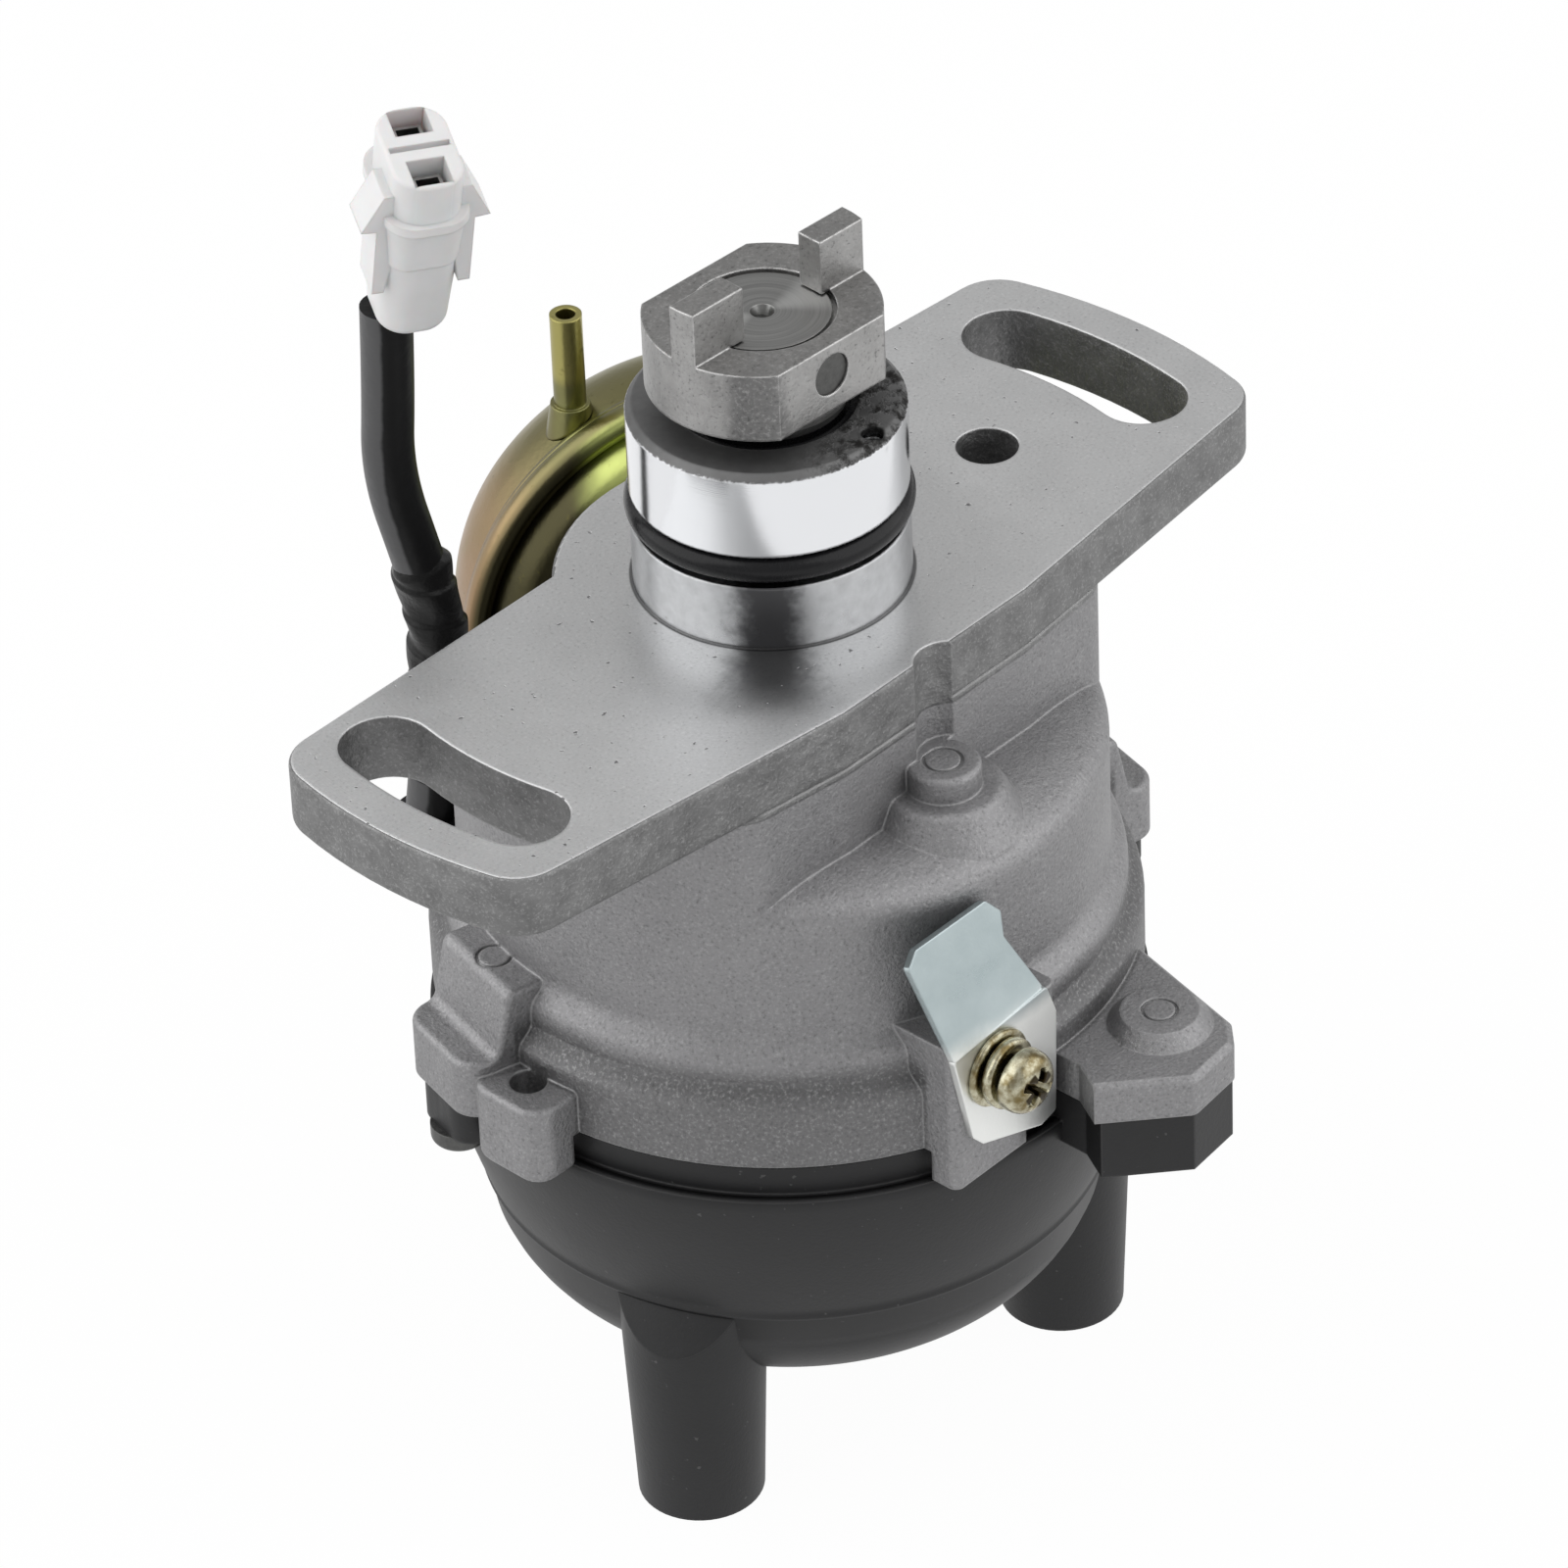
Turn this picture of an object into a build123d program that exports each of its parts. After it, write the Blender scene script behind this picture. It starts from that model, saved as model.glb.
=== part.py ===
from build123d import *
import os
from math import cos, sin, tan, radians, degrees, atan2, hypot, sqrt

# Ignition distributor, millimetres. The origin is on the barrel's axis, in the plane of the
# flange's mounting face. +Z points up the barrel to the drive coupling, +X along the flange.

# barrel and drive end
BARREL_R = 16.0
BARREL_TOP = 23.4
RING_WIRE_R = 1.4
RING_Z = 10.4
SHAFT_R = 6.3
PILOT_R = 4.9
RUN_GAP = 0.05
HEAD_R = 7.8
COUPLING_R = 13.6
COUPLING_FLAT = 10.8
COUPLING_LOW = 26.6
COUPLING_TOP = 35.2
LUG_TOP = 42.0
LUG_WIDE = 3.4
LUG_SHIFT = 1.1
CROSS_PIN_R = 2.6
COUPLING_TURN = -3.0

# mounting flange
FLANGE_T = 8.3
FLANGE_END_R = 64.9
PAD_R = 25.2
SLOT_CENTRE_R = FLANGE_END_R - 11.1
SLOT_HALF_WIDE = 5.4
SLOT_HALF_ANGLE = 11.1
DOWEL_X = 33.9
DOWEL_Y = -2.9
DOWEL_R = 3.7

# housing bowl
NECK_BACK = 18.5
NECK_ROUND = 6.0
SHOULDER_Z = -19.2
BOWL_R = 38.0
BOWL_WALL = 3.0
RIM_STEP = 3.8
RIM_WALL = 2.8
RIM_R = BOWL_R + RIM_STEP
RIM_Z = -54.0
CEILING_Z = -22.3
LEDGE_WIDE = 4.2
LOWER_BORE_R = BOWL_R - BOWL_WALL
UPPER_BORE_R = LOWER_BORE_R - LEDGE_WIDE
LEDGE_Z = -35.8
REBATE_R = RIM_R - RIM_WALL
REBATE_Z = -51.2
HANG_Z = -59.0
HANG_CLEAR_R = RIM_R + 1.0
EAR_THICK = 7.5
EAR_PAD_TALL = 16.0
EAR_EDGE = 2.7
EAR_HALF_WIDE = 7.2
SIDE_EAR_ANGLES = (165.0, -15.0)
SIDE_SCREW_R = RIM_R + 3.8
EAR_REACH = SIDE_SCREW_R + EAR_EDGE
CORNER_SCREW_R = RIM_R + 7.0
CORNER_SCREW_ANGLE = -76.8
CORNER_EAR_TOP = -48.7
LUG_ANGLE = 179.3
LUG_HALF_WIDE = 5.6
LUG_REACH = RIM_R + 6.4
LUG_HOLE_R = RIM_R + 1.8
PAD_PROUD = 0.5
PAD_FACE_Y = -RIM_R - PAD_PROUD
BRACKET_SCREW_X = -12.6
BRACKET_SCREW_Z = -42.8
BRACKET_SCREW_LONG = 11.5
BRACKET_LEAN = 18.0

# cap
GASKET_T = 0.6
SEAT_GAP = 0.3
CAP_SHOULDER_Z = -58.8
CAP_SHOULDER_R = RIM_R + 0.4
CAP_WALL_R = REBATE_R + 1.6
CAP_STEP_R = 36.9
CAP_STEP_Z = -80.2
DOME_END_Z = -98.3
CAP_WALL_T = 3.6
TOWER_RING_R = CAP_STEP_R - 5.4
TOWER_END_R = 7.5
TOWER_END_Z = -111.0
TOWER_BORE_R = 4.3
TOWER_BORE_DEEP = 17.0
TOWER_FIRST_ANGLE = -40.7
TOWER_COUNT = 3
BLADE_INNER_R = TOWER_RING_R - 4.3
CORNER_DROP = 8.0

# governor, from the top down
GOVERNOR_Z = -25.5
GOVERNOR_T = 2.0
GOVERNOR_R = 24.0
PIVOT_R = 18.0
PIVOT_PIN_R = 2.0
DRIVE_PIN_AT = 11.0
DRIVE_PIN_R = 1.4
WEIGHT_TOP = -26.0
WEIGHT_T = 4.4
CAM_TOP = -31.0
CAM_T = 1.4
SLEEVE_R = 7.5
SLEEVE_END = -50.0
SPRING_Z = -33.9

# pickup
BASE_T = 1.2
PICKUP_GAP = 0.3
PICKUP_T = 1.3
COLLAR_R = 14.0
BASE_SCREW_ANGLES = (100.0, 220.0, 340.0)
BASE_SCREW_R = LOWER_BORE_R - 2.2
BASE_SCREW_HEAD_R = 2.1
PICKUP_R = BASE_SCREW_R - BASE_SCREW_HEAD_R - 1.2
TOOTH_R = 11.5
RELUCTOR_Z = -48.0
RELUCTOR_T = 5.0
COIL_ANGLE = 150.0
COIL_Z = -45.5
AIR_GAP = 0.6
LINK_T = 1.0
LINK_PIN_R = 1.5
LINK_ARM = 20.0
LINK_SWING = 10.0

# vacuum canister
CANISTER_AZ = 62.7
CANISTER_PAD_OUT = RIM_R + 0.2
CANISTER_OUT = CANISTER_PAD_OUT + 9.0
CANISTER_SIDE = -9.4
CANISTER_Z = -39.5
CANISTER_R = 31.0
CANISTER_SCREW_Z = -43.9
NIPPLE_R = 1.95
NIPPLE_BORE_R = 1.2
NIPPLE_TALL = 15.5
NIPPLE_SIDE = 14.0
NIPPLE_OUT = 6.0

# pickup lead and plug
LEAD_R = 3.05
GROMMET_R = 4.4
GROMMET_NECK_R = 3.5
LEAD_EXIT_R = RIM_R + 0.6
LEAD_EXIT_ANGLE = 119.5
LEAD_EXIT_Z = -39.9
PLUG_REAR_OFFSET = (0.0, -1.6, 71.3)
PLUG_DIRECTION = (-0.0734, -0.2276, 0.9710)
PLUG_SIDE = (0.8665, -0.4970, -0.0464)
PLUG_LONG = 25.5
PLUG_WIDE = 8.2
PLUG_DEEP = 13.0
BOOT_LONG = 13.0
COLLAR_AT = 18.4
PIN_PITCH = 8.0
CAVITY_DEEP = 9.0

RISE = (Align.CENTER, Align.CENTER, Align.MIN)
FREE = (Align.NONE, Align.NONE, Align.NONE)


def rod(radius, low, high, x=0.0, y=0.0):
    """Upright cylinder between two heights."""
    return Pos(x, y, low) * Cylinder(radius, high - low, align=RISE)


def tube(outer, inner, low, high, x=0.0, y=0.0):
    """Upright ring between two heights."""
    return rod(outer, low, high, x, y) - rod(inner, low - 1, high + 1, x, y)


def cone(low_radius, high_radius, low, high, x=0.0, y=0.0):
    """Upright cone between two heights."""
    return Pos(x, y, low) * Cone(low_radius, high_radius, high - low, align=RISE)


def block(x0, x1, y0, y1, z0, z1):
    """Box between six coordinates."""
    return Pos((x0 + x1) / 2, (y0 + y1) / 2, z0) * Box(x1 - x0, y1 - y0, z1 - z0, align=RISE)


def turned(points):
    """Solid of revolution about Z of a closed outline of (radius, height) points."""
    outline = Plane.XZ * make_face(Polyline(*points, close=True))
    return revolve(outline, Axis.Z)


def plate(points, low, high):
    """Flat plate of a closed outline of (x, y) points between two heights."""
    return extrude(Pos(0, 0, low) * make_face(Polyline(*points, close=True)), high - low)


def turned_curves(*curves):
    """Solid of revolution about Z of a closed chain of curves drawn in (radius, height)."""
    edges = [edge for curve in curves for edge in curve.edges()]
    return revolve(Plane.XZ * make_face(edges), Axis.Z)


def spoke(radius, angle):
    """Point on the ground plane at a radius and an angle."""
    return radius * cos(radians(angle)), radius * sin(radians(angle))


def coil(radius, wire, low, high, turns):
    """Helical spring standing between two heights."""
    rise = high - low - 2 * wire
    path = Pos(0, 0, low + wire) * Helix(pitch=rise / turns, height=rise, radius=radius)
    section = Plane(origin=path @ 0, z_dir=path % 0) * RegularPolygon(wire, 6)
    return sweep(section, path=path, is_frenet=True)


def canister_plane():
    """Frame of the vacuum canister: z outward along its rod, y up, x to its side."""
    out = Vector(cos(radians(CANISTER_AZ)), sin(radians(CANISTER_AZ)), 0)
    side = Vector(-out.Y, out.X, 0)
    centre = out * CANISTER_OUT + side * CANISTER_SIDE + Vector(0, 0, CANISTER_Z)
    return Plane(origin=centre, x_dir=side, z_dir=out)


def plug_plane():
    """Frame of the lead's plug: z from its rear to its mating face, x across it."""
    rear = Vector(*lead_exit()) + Vector(*PLUG_REAR_OFFSET)
    return Plane(origin=rear, x_dir=PLUG_SIDE, z_dir=PLUG_DIRECTION)


def lead_exit():
    """Where the lead's middle line leaves the grommet."""
    x, y = spoke(LEAD_EXIT_R, LEAD_EXIT_ANGLE)
    return x, y, LEAD_EXIT_Z


# ---------------------------------------------------------------- housing

def flange_arms():
    """Outline of the flange's two arms, before its ends are rounded."""
    far = FLANGE_END_R + 2
    points = [(-far, -18.7), (-16, -PAD_R), (15, -PAD_R), (far, -19.8)]
    points += [(far, 20.6), (8, PAD_R), (-17, NECK_BACK), (-far, NECK_BACK)]
    return make_face(Polyline(*points, close=True))


def flange():
    """Two-armed mounting flange with its curved slots."""
    outline = (flange_arms() + Circle(PAD_R)) & Circle(FLANGE_END_R)
    corners = [v for v in outline.vertices() if abs(v.X) > 0.75 * FLANGE_END_R]
    outline = fillet(corners, 6.0)
    body = extrude(Pos(0, 0, -FLANGE_T) * outline, FLANGE_T)
    body = fillet(body.edges().group_by(Axis.Z)[-1], 0.5)
    body = fillet(body.edges().group_by(Axis.Z)[0], 1.2)
    for middle in (0.0, 180.0):
        start = middle - SLOT_HALF_ANGLE
        centre_line = CenterArc((0, 0), SLOT_CENTRE_R, start, 2 * SLOT_HALF_ANGLE)
        slot = SlotArc(centre_line, 2 * SLOT_HALF_WIDE)
        body -= extrude(Pos(0, 0, -FLANGE_T - 1) * slot, FLANGE_T + 2)
    return body


def neck():
    """Block under the flange that runs into the bowl's side, with its corners rounded."""
    outline = flange_arms() & Circle(BOWL_R)
    back = Pos(0, NECK_BACK - BOWL_R) * Rectangle(2 * BOWL_R, 2 * BOWL_R)
    outline &= back
    corners = [v for v in outline.vertices() if abs(v.X) > 0.6 * BOWL_R]
    outline = fillet(corners, NECK_ROUND)
    low = SHOULDER_Z - 5.0
    column = rod(PAD_R, low, -FLANGE_T + 0.5)
    return extrude(Pos(0, 0, low) * outline, -FLANGE_T + 0.5 - low) + column


def bowl():
    """Outside of the bowl, with its domed shoulder and its stepped flare to the rim."""
    inner = UPPER_BORE_R - 6
    step = RIM_STEP
    top = Polyline((0, RIM_Z), (0, SHOULDER_Z), (inner, SHOULDER_Z))
    shoulder = Spline((inner, SHOULDER_Z), (BOWL_R - 3.2, SHOULDER_Z - 1.0), (BOWL_R, SHOULDER_Z - 4.6),
                      tangents=[(1, 0), (0, -1)])
    side = Line((BOWL_R, SHOULDER_Z - 4.6), (BOWL_R, RIM_Z + 16.6))
    waist = Spline((BOWL_R, RIM_Z + 16.6), (BOWL_R + 0.42 * step, RIM_Z + 13.6),
                   (BOWL_R + 0.52 * step, RIM_Z + 10.6), tangents=[(0, -1), (0, -1)])
    flare = Spline((BOWL_R + 0.52 * step, RIM_Z + 10.6), (RIM_R - 0.1, RIM_Z + 8.0),
                   (RIM_R, RIM_Z + 6.4), tangents=[(0.3, -1), (0, -1)])
    rim = Polyline((RIM_R, RIM_Z + 6.4), (RIM_R, RIM_Z), (0, RIM_Z))
    return turned_curves(top, shoulder, side, waist, flare, rim)


def side_ear(angle):
    """Cap ear on the bowl's side: a high pad by the wall that slopes down to a ledge."""
    wall = BOWL_R - BOWL_WALL
    ledge = RIM_Z + EAR_THICK
    top = RIM_Z + EAR_PAD_TALL
    points = [(wall, RIM_Z), (EAR_REACH, RIM_Z), (EAR_REACH, ledge), (RIM_R + 2.3, ledge)]
    points += [(RIM_R + 0.4, top), (wall, top)]
    profile = make_face(Polyline(*points, close=True))
    bends = [v for v in profile.vertices() if v.Y > ledge - 0.1 and wall + 1 < v.X < EAR_REACH - 1]
    profile = fillet(bends, 1.4)
    ear = Pos(0, EAR_HALF_WIDE, 0) * extrude(Plane.XZ * profile, 2 * EAR_HALF_WIDE)
    ear = fillet(ear.edges().filter_by(Axis.Z).group_by(Axis.X)[-1], 3.5)
    upper = ear.edges().filter_by(lambda e: e.center().Z > ledge - 0.1 and e.center().X > wall + 0.5)
    ear = fillet(upper, 0.7)
    mark = tube(2.2, 1.8, top - 0.4, top + 1.0, RIM_R - 2.2, 0)
    return Rot(0, 0, angle) * (ear - mark)


def corner_outline(inset):
    """Plan of the corner ear about its screw, x away from the barrel's axis."""
    points = [(-10.8, 13.2), (7.2, 4.0), (9.4, 0.4), (8.4, -7.6), (-1.2, -14.2)]
    points += [(-4.7, -11.1), (-13.9, -9.0)]
    outline = make_face(Polyline(*points, close=True))
    outline = fillet([v for v in outline.vertices() if v.X > 5], 1.4)
    if inset:
        outline = offset(outline, amount=-inset)
    return outline


def corner_place(height):
    """Place of the corner ear's screw at a height."""
    x, y = spoke(CORNER_SCREW_R, CORNER_SCREW_ANGLE)
    return Pos(x, y, height) * Rot(0, 0, CORNER_SCREW_ANGLE)


def corner_ear():
    """Larger cap ear on the front right corner, with a low round boss."""
    thick = CORNER_EAR_TOP - RIM_Z
    ear = extrude(corner_outline(0), thick)
    ear = chamfer(ear.edges().group_by(Axis.Z)[-1].filter_by(lambda e: e.center().X > 0), 0.7)
    boss = cone(6.6, 4.6, thick - 0.5, thick + 1.8)
    mark = tube(2.2, 1.8, thick + 1.4, thick + 2.5)
    return corner_place(RIM_Z) * (ear + boss - mark)


def keying_lug():
    """Rounded lug that hangs below the rim on the left and keys the cap."""
    top = RIM_Z + 5.8
    lug = block(BOWL_R - BOWL_WALL, LUG_REACH, -LUG_HALF_WIDE, LUG_HALF_WIDE, HANG_Z, top)
    lug = fillet(lug.edges().filter_by(Axis.Z).group_by(Axis.X)[-1], 3.0)
    lug = fillet(lug.edges().group_by(Axis.Z)[0].filter_by(lambda e: e.center().X > RIM_R), 1.6)
    lug = fillet(lug.edges().group_by(Axis.Z)[-1].filter_by(lambda e: e.center().X > RIM_R), 0.7)
    return Rot(0, 0, LUG_ANGLE) * lug


def bracket_pad():
    """Flat pad for the harness bracket."""
    pad = block(-18.6, -0.8, PAD_FACE_Y, PAD_FACE_Y + 14.3, HANG_Z + 1, RIM_Z + 15.8)
    return fillet(pad.edges().filter_by(Axis.Z).group_by(Axis.Y)[0], 1.2)


def front_boss():
    """Round boss on a half cone at the foot of the front groove."""
    boss = rod(4.4, SHOULDER_Z - 1, -13.0, -2.4, -27.4)
    boss = fillet(boss.edges().group_by(Axis.Z)[-1], 0.7)
    foot = cone(9.6, 6.8, SHOULDER_Z - 2, SHOULDER_Z + 3.0, -2.4, -27.4)
    foot = fillet(foot.edges().group_by(Axis.Z)[-1], 1.2)
    mark = tube(2.4, 2.0, -13.4, -12.5, -2.4, -27.4)
    return boss + foot - mark


def canister_pad():
    """Flat pad on the back that carries the vacuum canister."""
    low, high = RIM_Z + 2, RIM_Z + 24
    near = CANISTER_PAD_OUT - 12.0
    pad = block(near, CANISTER_PAD_OUT, CANISTER_SIDE - 15, CANISTER_SIDE + 15, low, high)
    return Rot(0, 0, CANISTER_AZ) * pad


def housing_hollow():
    """All that is removed from inside the housing."""
    void = tube(21.6, 12.5, CEILING_Z, -12.0)
    pocket = rod(UPPER_BORE_R + 1, CEILING_Z, -13.0) - rod(21.6, CEILING_Z - 1, -12.0)
    void += pocket & block(-BOWL_R, BOWL_R, 4 - PAD_R, NECK_BACK - 4, CEILING_Z, -13.0)
    void += rod(UPPER_BORE_R, LEDGE_Z, CEILING_Z)
    void += rod(LOWER_BORE_R, RIM_Z - 1, LEDGE_Z)
    void += rod(REBATE_R, RIM_Z - 1, REBATE_Z)
    void += rod(SHAFT_R + 0.9, CEILING_Z - 1, BARREL_TOP + 1)
    void += rod(10.5, BARREL_TOP - 4, BARREL_TOP + 1)
    void += rod(8.4, BARREL_TOP - 16, BARREL_TOP)
    void += rod(8.4, CEILING_Z - 1, -5.0)
    return void


def housing_holes():
    """Holes, grooves and pockets in the housing."""
    groove_z = RING_Z
    cuts = tube(BARREL_R + 1, BARREL_R - 2.6, groove_z - 2.1, groove_z + 2.1)
    cuts += rod(DOWEL_R, -7.0, 1.0, DOWEL_X, DOWEL_Y)
    cuts += rod(4.0, -13.0, 1.0, -1.2, -27.6)
    x, y = spoke(14.2, -81.3)
    cuts += rod(1.3, BARREL_TOP - 1.5, BARREL_TOP + 1, x, y)
    x, y = spoke(LUG_HOLE_R, LUG_ANGLE)
    cuts += rod(2.2, HANG_Z - 1, RIM_Z + 7, x, y)
    for angle in SIDE_EAR_ANGLES:
        x, y = spoke(SIDE_SCREW_R, angle)
        cuts += rod(2.05, RIM_Z - 1, RIM_Z + 6, x, y)
    cuts += corner_place(0) * rod(2.05, RIM_Z - 1, RIM_Z + 5.5)
    for angle in BASE_SCREW_ANGLES:
        x, y = spoke(BASE_SCREW_R, angle)
        cuts += rod(1.25, LEDGE_Z - 1, LEDGE_Z + 6, x, y)
    far = CANISTER_PAD_OUT + 4.0
    window = block(26, far, CANISTER_SIDE - 9, CANISTER_SIDE + 5, CANISTER_Z - 3, CANISTER_Z + 3)
    cuts += Rot(0, 0, CANISTER_AZ) * window
    x, y, z = lead_exit()
    cuts += rod(GROMMET_R, z - 10, z + 4, x, y)
    cuts += Rot(0, 0, LEAD_EXIT_ANGLE) * radial_rod(GROMMET_NECK_R, 30, LEAD_EXIT_R, z - 5.5)
    return cuts


def radial_rod(radius, start, end, height):
    """Cylinder lying along +X at a height."""
    return Pos(start, 0, height) * Rot(0, 90, 0) * Cylinder(radius, end - start, align=RISE)


def front_rod(radius, x, z, y0, y1):
    """Cylinder lying along Y between two positions."""
    return Pos(x, y1, z) * Rot(90, 0, 0) * Cylinder(radius, y1 - y0, align=RISE)


def housing():
    """Cast body: barrel, flange, neck, bowl and ears in one piece."""
    body = rod(BARREL_R, -FLANGE_T, BARREL_TOP)
    body = chamfer(body.edges().group_by(Axis.Z)[-1], 0.8)
    hanging = keying_lug() + bracket_pad()
    hanging -= rod(HANG_CLEAR_R, HANG_Z - 1, RIM_Z)
    body += flange() + neck() + bowl() + hanging + corner_ear() + front_boss() + canister_pad()
    for angle in SIDE_EAR_ANGLES:
        body += side_ear(angle)
    body -= housing_hollow()
    body -= housing_holes()
    deep = PAD_FACE_Y + BRACKET_SCREW_LONG - 2.2
    body -= front_rod(2.0, BRACKET_SCREW_X, BRACKET_SCREW_Z, PAD_FACE_Y - 1, deep)
    body -= canister_screw_holes(2.0)
    return body


def canister_screw_holes(radius):
    """Two rods through the canister pad, one each side of its window."""
    rods = Part()
    for side in (CANISTER_SIDE - 12, CANISTER_SIDE + 9):
        hole = radial_rod(radius, 15, CANISTER_PAD_OUT + 4.0, CANISTER_SCREW_Z)
        rods += Rot(0, 0, CANISTER_AZ) * Pos(0, side, 0) * hole
    return rods


def barrel_ring():
    """Rubber sealing ring in the barrel's groove."""
    middle = BARREL_R - 2.6 + RING_WIRE_R - 0.05
    return Pos(0, 0, RING_Z) * Torus(middle, RING_WIRE_R)


def bushes():
    """Upper and lower sintered bushes, pressed into the housing."""
    upper = tube(8.4, SHAFT_R + RUN_GAP, BARREL_TOP - 15.5, BARREL_TOP - 4.5)
    lower = tube(8.4, SHAFT_R + RUN_GAP, CEILING_Z + 0.5, -6.0)
    return upper + lower


def shaft_seal():
    """Lip seal at the top of the barrel."""
    seal = tube(10.5, SHAFT_R + RUN_GAP, BARREL_TOP - 3.9, BARREL_TOP - 0.3)
    return seal - tube(9.6, SHAFT_R + 1.2, BARREL_TOP - 1.2, BARREL_TOP)


# ---------------------------------------------------------------- cap

def cap_outside():
    """Outside of the cap without its towers."""
    points = [(0, RIM_Z + 2.5), (REBATE_R - 0.3, RIM_Z + 2.5), (REBATE_R - 0.3, RIM_Z - GASKET_T)]
    points += [(CAP_WALL_R, RIM_Z - GASKET_T), (CAP_WALL_R, CAP_SHOULDER_Z)]
    points += [(CAP_SHOULDER_R, CAP_SHOULDER_Z), (CAP_SHOULDER_R - 0.9, CAP_SHOULDER_Z - 5.2)]
    points += [(CAP_STEP_R + 2.6, CAP_STEP_Z + 9.2), (CAP_STEP_R + 0.7, CAP_STEP_Z + 2.2)]
    points += [(CAP_STEP_R, CAP_STEP_Z), (CAP_STEP_R - 0.9, CAP_STEP_Z - 5.3)]
    points += [(CAP_STEP_R - 3.4, DOME_END_Z + 8.8), (CAP_STEP_R - 6.4, DOME_END_Z + 5.8)]
    points += [(CAP_STEP_R - 10.9, DOME_END_Z + 3.3), (CAP_STEP_R - 18.9, DOME_END_Z + 1.0)]
    points += [(0, DOME_END_Z)]
    return turned(points)


def cap_hollow():
    """Inside of the cap."""
    wall = CAP_WALL_T
    points = [(0, RIM_Z + 3), (CAP_WALL_R - wall, RIM_Z + 3), (CAP_WALL_R - wall, CAP_SHOULDER_Z)]
    points += [(CAP_STEP_R + 3.2 - wall, CAP_STEP_Z + 9.2), (CAP_STEP_R - wall, CAP_STEP_Z)]
    points += [(CAP_STEP_R - 0.9 - wall, CAP_STEP_Z - 4.0)]
    points += [(CAP_STEP_R - 6.4 - wall, DOME_END_Z + 8.6), (CAP_STEP_R - 14, DOME_END_Z + 5.4)]
    points += [(0, DOME_END_Z + 4.2)]
    return turned(points)


def tower_angles():
    """Angles of the plug towers."""
    return [TOWER_FIRST_ANGLE + n * 360.0 / TOWER_COUNT for n in range(TOWER_COUNT)]


def towers():
    """Plug towers round the dome and the coil tower in the middle."""
    top = CAP_STEP_Z - 0.3
    grown = TOWER_END_R + (top - TOWER_END_Z) * tan(radians(2.4))
    limit = [(0, top), (CAP_STEP_R, top), (TOWER_RING_R + grown, top - 5.5)]
    limit += [(TOWER_RING_R + grown, TOWER_END_Z), (0, TOWER_END_Z)]
    outer = Part()
    for angle in tower_angles():
        outer += cone(TOWER_END_R, grown, TOWER_END_Z, top, *spoke(TOWER_RING_R, angle))
    outer &= turned(limit)
    return outer + cone(TOWER_END_R, TOWER_END_R + 0.5, TOWER_END_Z, DOME_END_Z + 3)


def cap_ears():
    """Ears of the cap under the housing's ears."""
    low = RIM_Z - 5.2
    half = EAR_HALF_WIDE - 2.0
    ears = Part()
    for angle in SIDE_EAR_ANGLES:
        ear = block(CAP_WALL_R - 4.6, EAR_REACH - 0.2, -half, half, low, RIM_Z)
        ear = fillet(ear.edges().filter_by(Axis.Z).group_by(Axis.X)[-1], 3.0)
        ears += Rot(0, 0, angle) * (ear - rod(CAP_WALL_R - 1, low - 1, RIM_Z + 1))
    points = [(9.9, 13.5), (5.3, -5.9), (2.3, -8.9), (-5.5, -9.7), (-13.5, -2.5)]
    points += [(-11.3, 1.6), (-11.3, 11.5)]
    corner = Pos(*spoke(CORNER_SCREW_R, CORNER_SCREW_ANGLE)) * plate(points, RIM_Z - CORNER_DROP, RIM_Z)
    ears += corner - rod(CAP_WALL_R - 1, RIM_Z - CORNER_DROP - 1, RIM_Z + 1)
    return ears - rod(REBATE_R + 3.0, RIM_Z - GASKET_T, RIM_Z + 1)


def cap():
    """Black cap with three plug towers and a coil tower."""
    body = cap_outside() + towers() + cap_ears()
    body -= cap_hollow()
    for angle in tower_angles():
        x, y = spoke(TOWER_RING_R - 1.0, angle)
        post = rod(4.0, DOME_END_Z + 6, CAP_STEP_Z + 5, x, y)
        body += post & rod(CAP_STEP_R - 2, DOME_END_Z, CAP_STEP_Z + 6)
    body += rod(6.0, DOME_END_Z + 2, CAP_STEP_Z + 1)
    for angle in tower_angles():
        x, y = spoke(TOWER_RING_R, angle)
        body -= rod(TOWER_BORE_R, TOWER_END_Z - 1, TOWER_END_Z + TOWER_BORE_DEEP, x, y)
        body -= rod(2.0, TOWER_END_Z, CAP_STEP_Z + 6, x, y)
    body -= rod(TOWER_BORE_R, TOWER_END_Z - 1, TOWER_END_Z + 13.5)
    body -= rod(2.0, TOWER_END_Z, CAP_STEP_Z)
    body -= rod(2.7, DOME_END_Z + 7.3, CAP_STEP_Z + 2)
    for angle in SIDE_EAR_ANGLES:
        body -= rod(2.3, RIM_Z - 9, RIM_Z + 1, *spoke(SIDE_SCREW_R, angle))
    body -= corner_place(0) * rod(2.3, RIM_Z - CORNER_DROP - 1, RIM_Z + 1)
    return body


def cap_gasket():
    """Thin rubber ring between the rim and the cap."""
    return tube(RIM_R - 0.5, REBATE_R, RIM_Z - GASKET_T, RIM_Z)


def pan_screw(head_r, shank_r, length):
    """Pan head screw standing head down, its seat at height zero."""
    head = rod(head_r, -0.7 * head_r, 0)
    head = fillet(head.edges().group_by(Axis.Z)[0], 0.25 * head_r)
    arm = 1.1 * head_r
    slot = 0.22 * head_r
    cross = block(-arm / 2, arm / 2, -slot / 2, slot / 2, -head_r, -0.3 * head_r)
    cross += block(-slot / 2, slot / 2, -arm / 2, arm / 2, -head_r, -0.3 * head_r)
    return head + rod(shank_r, -0.1, length) - cross


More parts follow.
